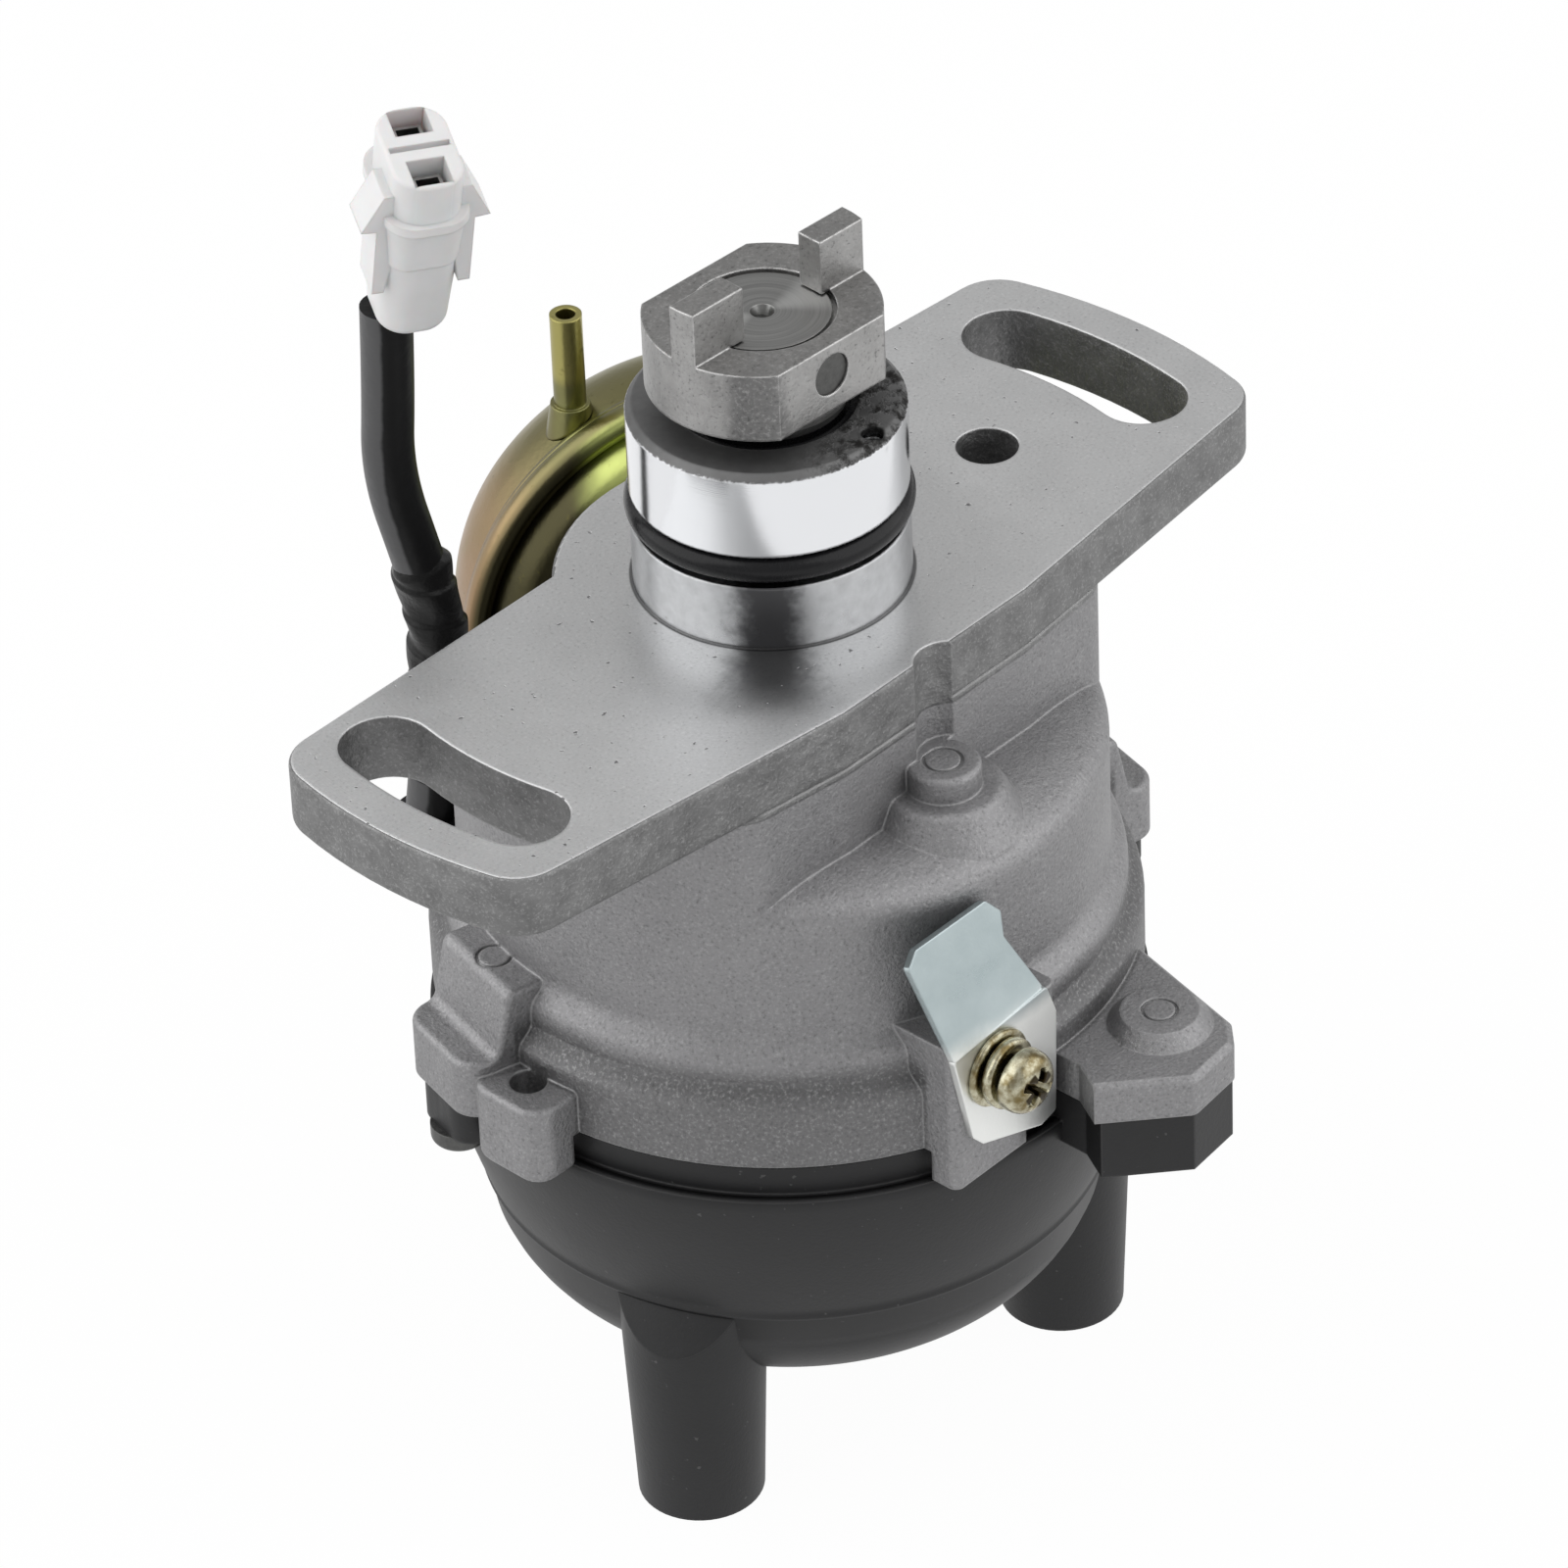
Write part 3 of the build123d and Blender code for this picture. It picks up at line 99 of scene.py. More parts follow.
class Shading:
    """A node tree, of a material or of the world, whose nodes all come from one method."""

    def __init__(self, tree, end):
        self.tree = tree
        self.tree.nodes.clear()
        self.end = self.node(end, {}, {})

    def node(self, kind, settings, sockets, output=0):
        """Adds a node and gives that output of it, or the node itself where it has none."""
        made = self.tree.nodes.new(kind)
        for name, value in settings.items():
            setattr(made, name, value)
        for key, value in sockets.items():
            self.feed(made.inputs[key], value)
        return Value(self, made.outputs[output]) if made.outputs else made

    def feed(self, socket, value):
        """Links a Value to a socket, or sets the socket to a number, a vector or a colour."""
        if isinstance(value, Value):
            self.tree.links.new(value.socket, socket)
        elif isinstance(value, tuple) and len(value) == 3 and len(socket.default_value) == 4:
            socket.default_value = (*value, 1.0)
        else:
            socket.default_value = value

    def show(self, shader):
        """Makes a shader the one that the surface or the world shows."""
        self.feed(self.end.inputs["Surface"], shader)

    def rays(self, kind):
        """1 for the rays that Light Path names so, 0 for all others."""
        return self.node("ShaderNodeLightPath", {}, {}, kind)

    def seen(self, mirrored=1.0):
        """1 for rays from the camera and through glass, mirrored for rays off metal, else 0."""
        direct = self.rays("Is Camera Ray").most(self.rays("Is Transmission Ray"))
        return direct.most(self.rays("Is Glossy Ray") * mirrored)


class Finish(Shading):
    """A procedural material. What is the same all over goes on the shader's own sockets."""

    def __init__(self, name, **constants):
        self.material = bpy.data.materials.new(name)
        self.material.use_nodes = True
        super().__init__(self.material.node_tree, "ShaderNodeOutputMaterial")
        self.lit = self.node("ShaderNodeBsdfPrincipled", {}, {})
        self.show(self.lit)
        self.put(**constants)

    def put(self, **sockets):
        """Sets or links the shader's sockets, whose names have _ for a space."""
        for name, value in sockets.items():
            self.feed(self.lit.socket.node.inputs[name.replace("_", " ")], value)

    def place(self):
        """Object coordinates of the place, in metres."""
        return self.node("ShaderNodeTexCoord", {}, {}, "Object")

    def axes(self):
        """The place's x, y and z."""
        split = self.node("ShaderNodeSeparateXYZ", {}, {0: self.place()})
        return [Value(self, socket) for socket in split.socket.node.outputs]

    def vector(self, x, y, z):
        """Vector of the three values."""
        return self.node("ShaderNodeCombineXYZ", {}, {0: x, 1: y, 2: z})

    def noise(self, size, detail=3.0, rough=0.5, where=None):
        """Noise whose lumps are about size metres across, from 0 to 1."""
        where = self.place() if where is None else where
        sockets = {"Vector": where, "Scale": 1.0 / size, "Detail": detail, "Roughness": rough}
        return self.node("ShaderNodeTexNoise", {}, sockets)

    def rise(self, value, low, high):
        """0 where value is at low, 1 where it is at high, smooth between and level beyond."""
        sockets = {"Value": value, "From Min": low, "From Max": high}
        return self.node("ShaderNodeMapRange", {"interpolation_type": "SMOOTHSTEP"}, sockets)

    def mix(self, share, first, second):
        """Colour first where share is 0 and second where it is 1."""
        return self.node("ShaderNodeMix", {"data_type": "RGBA"}, {0: share, 6: first, 7: second}, 2)

    def coat(self, colour, *layers):
        """Colour with layers of (share, colour) laid over it in turn."""
        for share, layer in layers:
            colour = self.mix(share, colour, layer)
        return colour

    def facing(self):
        """Normal of the surface as the mesh has it."""
        return self.node("ShaderNodeNewGeometry", {}, {}, "Normal")

    def toward(self, direction, way):
        """How far a direction leans toward a way, 1 where they agree and -1 where opposite."""
        both = {0: direction, 1: way}
        return self.node("ShaderNodeVectorMath", {"operation": "DOT_PRODUCT"}, both, "Value")

    def rounded(self, radius):
        """Normal of the surface as if its sharp edges had that radius in metres."""
        return self.node("ShaderNodeBevel", {"samples": 6}, {"Radius": radius})

    def worn(self, radius):
        """1 on the edges and 0 away from them, from how far the rounded normal leans."""
        return self.rise(1.0 - self.toward(self.rounded(radius), self.facing()), 0.01, 0.16)

    def bump(self, height, depth, edge=0.0):
        """Normal of a surface raised by height times depth metres, its edges rounded by edge."""
        sockets = {"Height": height, "Distance": depth}
        if edge:
            sockets["Normal"] = self.rounded(edge)
        return self.node("ShaderNodeBump", {}, sockets)


def dress(finish, *names):
    """Gives CAD nodes a finish."""
    for name in names:
        for slot in nodes[name].material_slots:
            slot.material = finish.material


def grey(level):
    """Neutral colour of that level."""
    return (level, level, level)


def distance(first, second):
    """Distance from an axis, the root of the squares of the two coordinates across it."""
    return (first * first + second * second) ** 0.5


BARREL_R = 0.016
BARREL_TOP = 0.0234
FLANGE_T = 0.0083
POLISHED_R = 0.027
RIM_R = 0.0418
DIMPLE_X, DIMPLE_Y = 0.00215, -0.01404

# Each pair is where a mark starts and where it is full.
FACE_LEVEL = (-0.00012, -0.00004)
BARREL_REACH = (BARREL_R + 0.0003, BARREL_R + 0.0001)
END_LEVEL = (BARREL_TOP - 0.0006, BARREL_TOP - 0.0003)
LOW_BARREL_LEVEL = (0.0092, 0.0086)
FLANGE_SIDE_LEVEL = (-FLANGE_T - 0.0004, -FLANGE_T)
POLISH_REACH = (POLISHED_R + 0.008, POLISHED_R - 0.004)
RIM_REACH = (RIM_R + 0.0008, RIM_R + 0.0003)
RIM_LEVEL = (-0.0405, -0.0450)
WAIST_TOP = (-0.0398, -0.0418)
WAIST_FOOT = (-0.0462, -0.0440)
DIMPLE_REACH = (0.0022, 0.0015)
DIMPLE_LEVEL = (0.0205, 0.0210)
DIRTY_SIDE = (0.001, 0.010)
ROOT_TOP = (0.00035, 0.00015)
ROOT_FOOT = (-0.0003, -0.0001)
ROOT_REACH = (BARREL_R + 0.0005, BARREL_R + 0.00025)
# The front side, where painted reflection on the cast and painted shade on the coupling darken the
# metal.
PAINTED_DARK_SIDE = (0.0, 0.004)
PAINTED_DARK_WAY = (-0.728, -0.686)


def from_painted_dark_way(x, y):
    """How far a place lies out toward the front side that painted reflection and painted shade
    darken, and how far beside it.
    """
    return x * PAINTED_DARK_WAY[0] + y * PAINTED_DARK_WAY[1], y * PAINTED_DARK_WAY[0] - x * PAINTED_DARK_WAY[1]


cast = Finish("cast_aluminium", Metallic=1.0)
x, y, z = cast.axes()
radius = distance(x, y)
out, beside = from_painted_dark_way(x, y)
grain = cast.noise(0.00042, 4.0, 0.65)
lumps = cast.noise(0.0016, 3.0, 0.55)
blotch = cast.noise(0.010, 4.0, 0.6)
pits = cast.rise(cast.noise(0.0012, 2.0), 0.69, 0.75)
ring_lines = cast.noise(0.00018, 2.0, where=cast.vector(radius, x * 0.012, y * 0.012))
wall_lines = cast.noise(0.00012, 2.0, where=cast.vector(z, x * 0.01, y * 0.01))

turned = cast.rise(z, *FACE_LEVEL)
inside = cast.rise(radius, *BARREL_REACH)
end_face = inside * cast.rise(z + grain * 0.0007, *END_LEVEL)
barrel = inside * turned * (1.0 - end_face)
low_barrel = barrel * cast.rise(z, *LOW_BARREL_LEVEL)
face = turned * (1.0 - inside)
polish = face * cast.rise(radius + blotch * 0.006, *POLISH_REACH)
flange_side = cast.rise(z, *FLANGE_SIDE_LEVEL) * (1.0 - turned)
# Painted shade: a darker band round the bowl at its rim, darkest in the groove within it.
painted_rim_shade = cast.rise(z, *RIM_LEVEL) * cast.rise(radius, *RIM_REACH)
painted_waist_shade = painted_rim_shade * cast.rise(z, *WAIST_TOP) * cast.rise(z, *WAIST_FOOT)
edge = cast.worn(0.0004)

dirt = cast.rise(cast.noise(0.0022, 5.0, 0.7), 0.42, 0.62)
dirt = dirt * cast.rise((x - y) * 0.7, *DIRTY_SIDE)
# Painted shade: the small dimple in the barrel is made nearly black, as if shaded.
from_dimple = distance(x - DIMPLE_X, y - DIMPLE_Y) + lumps * 0.0008
dimple = inside * cast.rise(from_dimple, *DIMPLE_REACH) * cast.rise(z, *DIMPLE_LEVEL)
# Painted shade: a dark line in the corner where the barrel stands on the flange.
root = cast.rise(z, *ROOT_TOP) * cast.rise(z, *ROOT_FOOT) * cast.rise(radius, *ROOT_REACH)
# Painted reflection: a dark streak down the front of the lower barrel and of the polished face.
painted_dark_reflection = abs(beside / radius + 0.04 + (lumps - 0.5) * 0.24)
painted_dark_reflection = cast.rise(painted_dark_reflection, 0.34, 0.10) * cast.rise(out, *PAINTED_DARK_SIDE)

blasted_colour = cast.coat(
    cast.mix(blotch, (0.235, 0.233, 0.238), (0.355, 0.352, 0.358)),
    (painted_rim_shade * 0.50, grey(0.09)),
    (painted_waist_shade * 0.40, grey(0.05)),
    (cast.rise(grain, 0.5, 0.72) * 0.45, grey(0.48)),
    (cast.rise(grain, 0.46, 0.3) * 0.4, grey(0.07)),
)
side_colour = cast.coat(
    cast.mix(cast.noise(0.004, 4.0, 0.7), grey(0.11), grey(0.33)),
    (cast.rise(grain, 0.5, 0.7) * 0.4, grey(0.50)),
)
face_colour = cast.coat(
    cast.mix(blotch, (0.50, 0.503, 0.505), (0.58, 0.582, 0.584)),
    (ring_lines * 0.4, grey(0.66)),
    (cast.rise(grain, 0.52, 0.72) * 0.35, grey(0.80)),
    (cast.rise(grain, 0.45, 0.3) * 0.4, grey(0.24)),
    (pits * 0.7, grey(0.05)),
)
end_colour = cast.mix(dirt, cast.mix(lumps, grey(0.13), grey(0.19)), (0.03, 0.029, 0.028))
cast_colour = cast.coat(
    blasted_colour,
    (flange_side, side_colour),
    (edge * 0.5 * (1.0 - turned), grey(0.46)),
    (face, face_colour),
    (barrel, (0.80, 0.81, 0.83)),
    (low_barrel * (0.4 + 0.5 * lumps), (0.36, 0.365, 0.37)),
    (painted_dark_reflection * (low_barrel + polish * 0.7), (0.13, 0.13, 0.135)),
    (root * 0.8, grey(0.04)),
    (end_face, end_colour),
    (dimple * 0.9, grey(0.02)),
)
rough = 0.50 + 0.14 * blotch - face * 0.14 - polish * 0.10
rough = rough - barrel * 0.42 + low_barrel * 0.14 + dirt * end_face * 0.2
height = (1.0 - turned) * (grain * 0.9 + lumps * 0.8) + flange_side * lumps * 1.6
height = height + face * (ring_lines * 0.10 - pits * 0.8) + barrel * wall_lines * 0.05
cast.put(
    Base_Color=cast_colour,
    Roughness=rough,
    Normal=cast.bump(height + end_face * dirt * 1.5, 0.00012, 0.0005),
)
dress(cast, "housing")


# ---------------------------------------------------------------- barrel ring
# A moulded rubber ring in the barrel's groove seals the bore in the cylinder head.
# It is lightly oiled, so it shines.

RING_Z = 0.0104
RING_CORE_R = 0.01494
RING_WIRE_R = 0.00164


def surface(name, points, closed_u=False, closed_v=False):
    """Mesh of a grid of points, its rows u and columns v, joined round where it closes."""
    rows, columns = points.shape[:2]
    grid = np.arange(rows * columns).reshape(rows, columns)
    if closed_u:
        grid = np.vstack([grid, grid[:1]])
    if closed_v:
        grid = np.hstack([grid, grid[:, :1]])
    corners = [grid[:-1, :-1], grid[1:, :-1], grid[1:, 1:], grid[:-1, 1:]]
    quads = np.stack(corners, axis=-1).reshape(-1, 4)
    mesh = bpy.data.meshes.new(name)
    mesh.from_pydata(points.reshape(-1, 3).tolist(), [], quads.tolist())
    whole = bmesh.new()
    whole.from_mesh(mesh)
    bmesh.ops.remove_doubles(whole, verts=whole.verts, dist=1e-7)
    bmesh.ops.recalc_face_normals(whole, faces=whole.faces)
    whole.to_mesh(mesh)
    whole.free()
    mesh.shade_smooth()
    made = bpy.data.objects.new(name, mesh)
    bpy.context.collection.objects.link(made)
    return made


def spin(name, profile, steps=192, centre=(0.0, 0.0, 0.0), axes=np.eye(3), closed=True):
    """Solid of revolution: each (radius, height) of a profile, carried round the third axis.

    A closed profile makes a ring. An open one starts and ends at radius 0, on the axis.
    """
    profile = np.array(profile)
    turn = np.linspace(0.0, 2 * np.pi, steps, endpoint=False)[:, None]
    across = profile[:, 0]
    around = [across * np.cos(turn), across * np.sin(turn), profile[:, 1] + 0 * turn]
    points = np.stack(around, axis=-1) @ np.array(axes) + np.array(centre)
    return surface(name, points, closed_u=True, closed_v=closed)


def round_section(reach, level, wire_r, steps):
    """Profile of a round wire: steps of a circle of radius wire_r about (reach, level)."""
    turn = np.linspace(0.0, 2 * np.pi, steps, endpoint=False)
    return np.stack([reach + wire_r * np.cos(turn), level + wire_r * np.sin(turn)], axis=-1)


def finish_piece(piece, finish, slot, *replaced):
    """Gives a piece its finish, on the distributor's body, in place of CAD nodes. Its slot is not
    used.
    """
    piece.data.materials.append(finish.material)
    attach(piece, "body")
    if replaced:
        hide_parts(*replaced)


rubber = Finish("oiled_rubber", Base_Color=(0.008, 0.008, 0.009), Specular_IOR_Level=0.22)
rubber_grain = rubber.noise(0.0006)
rubber.put(Roughness=0.16 + 0.2 * rubber_grain, Normal=rubber.bump(rubber_grain, 0.00002))
barrel_ring = spin("barrel_ring_rubber", round_section(RING_CORE_R, RING_Z, RING_WIRE_R, 48))
finish_piece(barrel_ring, rubber, "black_rubber", "barrel_ring")
dress(rubber, "shaft_seal")


# ---------------------------------------------------------------- drive shaft and coupling
# A ground steel shaft runs in two bronze bushes. A sintered coupling disc with two
# milled lugs sits on its head, held by a cross pin that is ground flush.

bronze = Finish("sintered_bronze", Metallic=1.0, Base_Color=(0.42, 0.26, 0.11))
bronze.put(Roughness=0.35 + 0.2 * bronze.noise(0.0004))
dress(bronze, "bushes")

HIGHLIGHT_WAY = (0.94, -0.34)
SHAFT_DIMPLE_REACH = (0.0008, 0.0020)

steel = Finish("ground_steel", Metallic=1.0)
x, y = steel.axes()[:2]
radius = distance(x, y)
turning = steel.noise(0.00025, 2.0, where=steel.vector(radius, x * 0.02, y * 0.02))
# Painted highlight: two bright sectors across the turned ends, facing each other over the axis.
painted_highlight = (x * HIGHLIGHT_WAY[0] + y * HIGHLIGHT_WAY[1]) / (radius + 0.0002)
painted_highlight = steel.rise(painted_highlight * painted_highlight, 0.62, 1.0) * steel.rise(radius, *SHAFT_DIMPLE_REACH)
steel.put(
    Base_Color=steel.coat(
        steel.mix(turning, (0.15, 0.15, 0.15), (0.34, 0.34, 0.33)),
        (painted_highlight * 0.6, (0.62, 0.62, 0.61)),
    ),
    Roughness=0.28 + 0.14 * turning,
    Normal=steel.bump(turning, 0.00003, 0.0002),
)
dress(steel, "drive_shaft", "thrust_washers", "reluctor", "pickup_core",
      "carbon_spring", "governor_springs")

dark_steel = Finish("oiled_dark_steel", Metallic=1.0)
scuffs = dark_steel.noise(0.0008, 4.0, 0.7)
dark_steel.put(
    Base_Color=dark_steel.mix(scuffs, (0.05, 0.05, 0.05), (0.17, 0.17, 0.165)),
    Roughness=0.34 + 0.2 * scuffs,
    Normal=dark_steel.bump(scuffs, 0.00003, 0.0002),
)
dress(dark_steel, "coupling_pin", "cap_screws")

COUPLING_R = 0.0125
COUPLING_WALL_REACH = (COUPLING_R - 0.0013, COUPLING_R - 0.0007)

sintered = Finish("sintered_steel", Metallic=1.0)
x, y = sintered.axes()[:2]
out, beside = from_painted_dark_way(x, y)
specks = sintered.noise(0.0005, 4.0, 0.65)
patches = sintered.noise(0.0045, 3.0, 0.6)
rubbed = sintered.worn(0.00035) * sintered.rise(sintered.noise(0.0012, 3.0, 0.6), 0.28, 0.55)
walls = sintered.rise(sintered.toward(sintered.facing(), (0.0, 0.0, 1.0)), 0.7, 0.4)
# Painted shade: the front of the coupling's round wall is darkened.
painted_wall_shade = beside / COUPLING_R + 0.08 + (patches - 0.5) * 0.2
painted_wall_shade = sintered.rise(painted_wall_shade * painted_wall_shade, 0.10, 0.02) * sintered.rise(out, *PAINTED_DARK_SIDE)
painted_wall_shade = painted_wall_shade * walls * sintered.rise(distance(x, y), *COUPLING_WALL_REACH)
sintered.put(
    Base_Color=sintered.coat(
        sintered.mix(patches, (0.20, 0.198, 0.195), (0.31, 0.306, 0.30)),
        (walls * (0.05 + 0.70 * patches), (0.52, 0.515, 0.51)),
        (painted_wall_shade * 0.7, grey(0.11)),
        (sintered.rise(specks, 0.5, 0.72) * 0.5, (0.46, 0.455, 0.45)),
        (sintered.rise(specks, 0.44, 0.3) * 0.5, grey(0.05)),
        (rubbed * 0.85, (0.66, 0.655, 0.65)),
    ),
    Roughness=0.33 + 0.16 * patches,
    Normal=sintered.bump(specks + patches * 0.6, 0.00007, 0.0004),
)
dress(sintered, "drive_coupling", "cam_sleeve")


# ---------------------------------------------------------------- governor and pickup
# Zinc-plated plates and weights turn with the shaft inside the closed bowl. The
# pickup's coil is wound in enamelled copper, and the contacts are brass.

zinc = Finish("bright_zinc", Metallic=1.0)
bloom = zinc.noise(0.006, 4.0, 0.6)
zinc.put(
    Base_Color=zinc.mix(bloom, (0.56, 0.645, 0.655), (0.66, 0.735, 0.745)),
    Roughness=0.25 + 0.16 * bloom,
    Normal=zinc.bump(zinc.noise(0.0005), 0.00002, 0.0003),
)
dress(zinc, "governor_plate", "governor_weight_a", "governor_weight_b", "base_plate",
      "base_screws", "pickup_plate", "vacuum_rod", "canister_screws")

copper = Finish("enamelled_copper", Metallic=1.0, Roughness=0.3)
copper.put(Base_Color=copper.mix(copper.noise(0.0004), (0.42, 0.13, 0.05), (0.62, 0.26, 0.12)))
dress(copper, "pickup_coil")

brass = Finish("brass", Metallic=1.0)
brass_bloom = brass.noise(0.002)
brass.put(
    Base_Color=brass.mix(brass_bloom, (0.62, 0.42, 0.15), (0.78, 0.58, 0.26)),
    Roughness=0.25 + 0.2 * brass_bloom,
)
dress(brass, "plug_electrodes", "coil_terminal", "rotor_contact")


# ---------------------------------------------------------------- vacuum canister
# Two pressed steel shells with a rolled seam hold the diaphragm. They are zinc
# plated and yellow passivated, so gold runs into green and rose. The rose low down is
# partly painted reflection; the cup's dark olive is painted reflection, and its
# yellow-green strip a painted highlight.

CANISTER_AZ = math.radians(62.7)
CANISTER_OUT = 0.0510
CANISTER_SIDE = -0.0094
CANISTER_Z = -0.0395
CANISTER_R = 0.0310
CUP_LEVEL = (-0.0006, -0.0022)
GREEN_HIGHLIGHT_REACH = (0.0205, 0.0150)
NIPPLE_LEVEL = (-0.0085, -0.0065)

passivated = Finish("yellow_passivated_zinc", Metallic=1.0)
x, y, z = passivated.axes()
cloud = passivated.noise(0.016, 4.0, 0.55)
drawn = passivated.noise(0.0011, 3.0, 0.6)
depth = x * math.cos(CANISTER_AZ) + y * math.sin(CANISTER_AZ) - CANISTER_OUT
beside = y * math.cos(CANISTER_AZ) - x * math.sin(CANISTER_AZ) - CANISTER_SIDE
# Rose low down, olive higher up: partly the passivation's own colour and partly painted reflection.
tint_and_painted_reflection = passivated.rise(cloud * 0.5 + z * 28.0, -0.72, -0.10)
# Painted reflection: the cup is made dark olive, with a painted highlight as a bright yellow-green
# strip along one side.
painted_cup_shade = passivated.rise(depth, *CUP_LEVEL)
green = passivated.rise(beside + cloud * 0.006, *GREEN_HIGHLIGHT_REACH)
nipple = passivated.rise(z, *NIPPLE_LEVEL)
passivated.put(
    Base_Color=passivated.coat(
        passivated.mix(tint_and_painted_reflection, (0.33, 0.215, 0.12), (0.19, 0.175, 0.08)),
        (passivated.rise(cloud, 0.52, 0.74), (0.27, 0.28, 0.11)),
        (painted_cup_shade * (1.0 - nipple), passivated.mix(green, (0.055, 0.050, 0.026), (0.42, 0.47, 0.15))),
        (nipple, (0.37, 0.335, 0.12)),
        (passivated.rise(drawn, 0.62, 0.78) * 0.5, (0.10, 0.09, 0.03)),
    ),
    Roughness=0.24 + 0.16 * passivated.noise(0.004),
    Normal=passivated.bump(drawn, 0.00004, 0.0003),
)
dress(passivated, "vacuum_nipple", "canister_bracket")
dress(rubber, "diaphragm")

outward = np.array([math.cos(CANISTER_AZ), math.sin(CANISTER_AZ), 0.0])
sideways = np.array([-outward[1], outward[0], 0.0])
upward = np.array([0.0, 0.0, 1.0])
canister_axes = np.array([sideways, upward, outward])
canister_centre = outward * CANISTER_OUT + sideways * CANISTER_SIDE + upward * CANISTER_Z

SHELL_T = 0.0008
CROWN_R = CANISTER_R - 0.00165
CROWN_INNER_R = CANISTER_R - 0.0024
CROWN_FOOT = 0.0038
CROWN_TALL = 0.0166
SEAM = [
    (-0.00165, 0.00330), (-0.00145, 0.00312), (-0.00112, 0.00300), (-0.00106, 0.00255),
    (-0.00118, 0.00205), (-0.00132, 0.00180), (-0.00108, 0.00158), (-0.00040, 0.00145),
    (0.00000, 0.00095), (0.00006, 0.00000), (0.00000, -0.00125), (-0.00045, -0.00195),
    (-0.00130, -0.00225), (-0.00225, -0.00205), (-0.00230, -0.00120), (-0.00120, -0.00095),
    (-0.00100, 0.00060), (-0.00255, 0.00075),
]


def crown(radius, tall, steps=28):
    """Profile of a pressed crown, from its end down to CROWN_FOOT.

    (r / radius) ** 3.6 + (h / tall) ** 2.6 = 1, where h is the height over CROWN_FOOT.
    """
    bend = np.linspace(np.pi / 2, 0.0, steps)
    across = radius * np.cos(bend).clip(0.0) ** (2 / 3.6)
    return np.stack([across, CROWN_FOOT + tall * np.sin(bend) ** (2 / 2.6)], axis=-1)


seam_line = np.array(SEAM) + np.array([CANISTER_R, 0.0])
dome_line = np.vstack([
    crown(CROWN_R, CROWN_TALL),
    seam_line,
    crown(CROWN_INNER_R, CROWN_TALL - SHELL_T)[::-1],
])
dome = spin("canister_dome", dome_line, 256, canister_centre, canister_axes, closed=False)
finish_piece(dome, passivated, "yellow_zinc", "outer_shell")

CUP_R = CANISTER_R - 0.0026
CUP_T = 0.0009
CUP_FOOT = -0.0015
CUP_FACE = -0.0071
CUP_ROUND = 0.0046
CUP_HOLE_R = 0.0040
CUP_STEP = 0.0005
LIP_R = CUP_R + 0.0015


def bowl_line(radius, face, steps=16):
    """Profile of the shallow cup from its side to its flat face.

    The radius falls by CUP_ROUND * (1 - cos(t) ** 0.8) while the level goes from CUP_FOOT
    to the face as sin(t) ** 0.9, with t from 0 to a quarter turn.
    """
    bend = np.linspace(0.0, np.pi / 2, steps)
    across = radius - CUP_ROUND * (1.0 - np.cos(bend) ** 0.8)
    return np.stack([across, CUP_FOOT + (face - CUP_FOOT) * np.sin(bend) ** 0.9], axis=-1)


cup_line = np.vstack([
    bowl_line(CUP_R, CUP_FACE),
    [(0.0205, CUP_FACE), (0.0196, CUP_FACE + CUP_STEP), (0.0150, CUP_FACE + CUP_STEP)],
    [(0.0141, CUP_FACE), (CUP_HOLE_R, CUP_FACE), (CUP_HOLE_R, CUP_FACE + CUP_T)],
    bowl_line(CUP_R - CUP_T, CUP_FACE + CUP_T)[::-1],
    [(CUP_R - 0.0004, -CUP_T), (LIP_R, -CUP_T), (LIP_R, -CUP_T - 0.00008)],
])
cup = spin("canister_cup", cup_line, 256, canister_centre, canister_axes)
finish_piece(cup, passivated, "yellow_zinc", "inner_shell")

SPRING_R = 0.0080
SPRING_WIRE_R = 0.0006
SPRING_FOOT = 0.0016
SPRING_TOP = 0.0192
SPRING_TURNS = 4


def helix(name, section, turns, rise, centre, axes, gap=0.0, steps=160):
    """Wire whose (radius, height) section winds round the third axis and closes at both ends.

    The height grows by rise over each turn, and gap radians are left out at each end.
    """
    turn = np.linspace(gap, 2 * np.pi * turns - gap, steps)[:, None]
    across = section[:, 0] + 0.0 * turn
    along = section[:, 1] + rise * turn / (2 * np.pi)
    points = np.stack([across * np.cos(turn), across * np.sin(turn), along], axis=-1)
    ends = np.repeat(points[[0, -1]].mean(axis=1, keepdims=True), len(section), axis=1)
    points = np.vstack([ends[:1], points, ends[1:]])
    return surface(name, points @ np.array(axes) + np.array(centre), closed_v=True)


wire = round_section(SPRING_R, SPRING_FOOT + SPRING_WIRE_R, SPRING_WIRE_R, 16)
pitch = (SPRING_TOP - SPRING_FOOT - 2 * SPRING_WIRE_R) / SPRING_TURNS
spring = helix("vacuum_return_spring", wire, SPRING_TURNS, pitch,
               canister_centre, canister_axes, steps=400)
finish_piece(spring, steel, "steel", "vacuum_spring")
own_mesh(spring)


# ---------------------------------------------------------------- cap and rotor
# The cap and rotor are moulded in black phenolic. A thin rubber ring seals the cap
# to the bowl's rim, and three screws hold it by its ears.

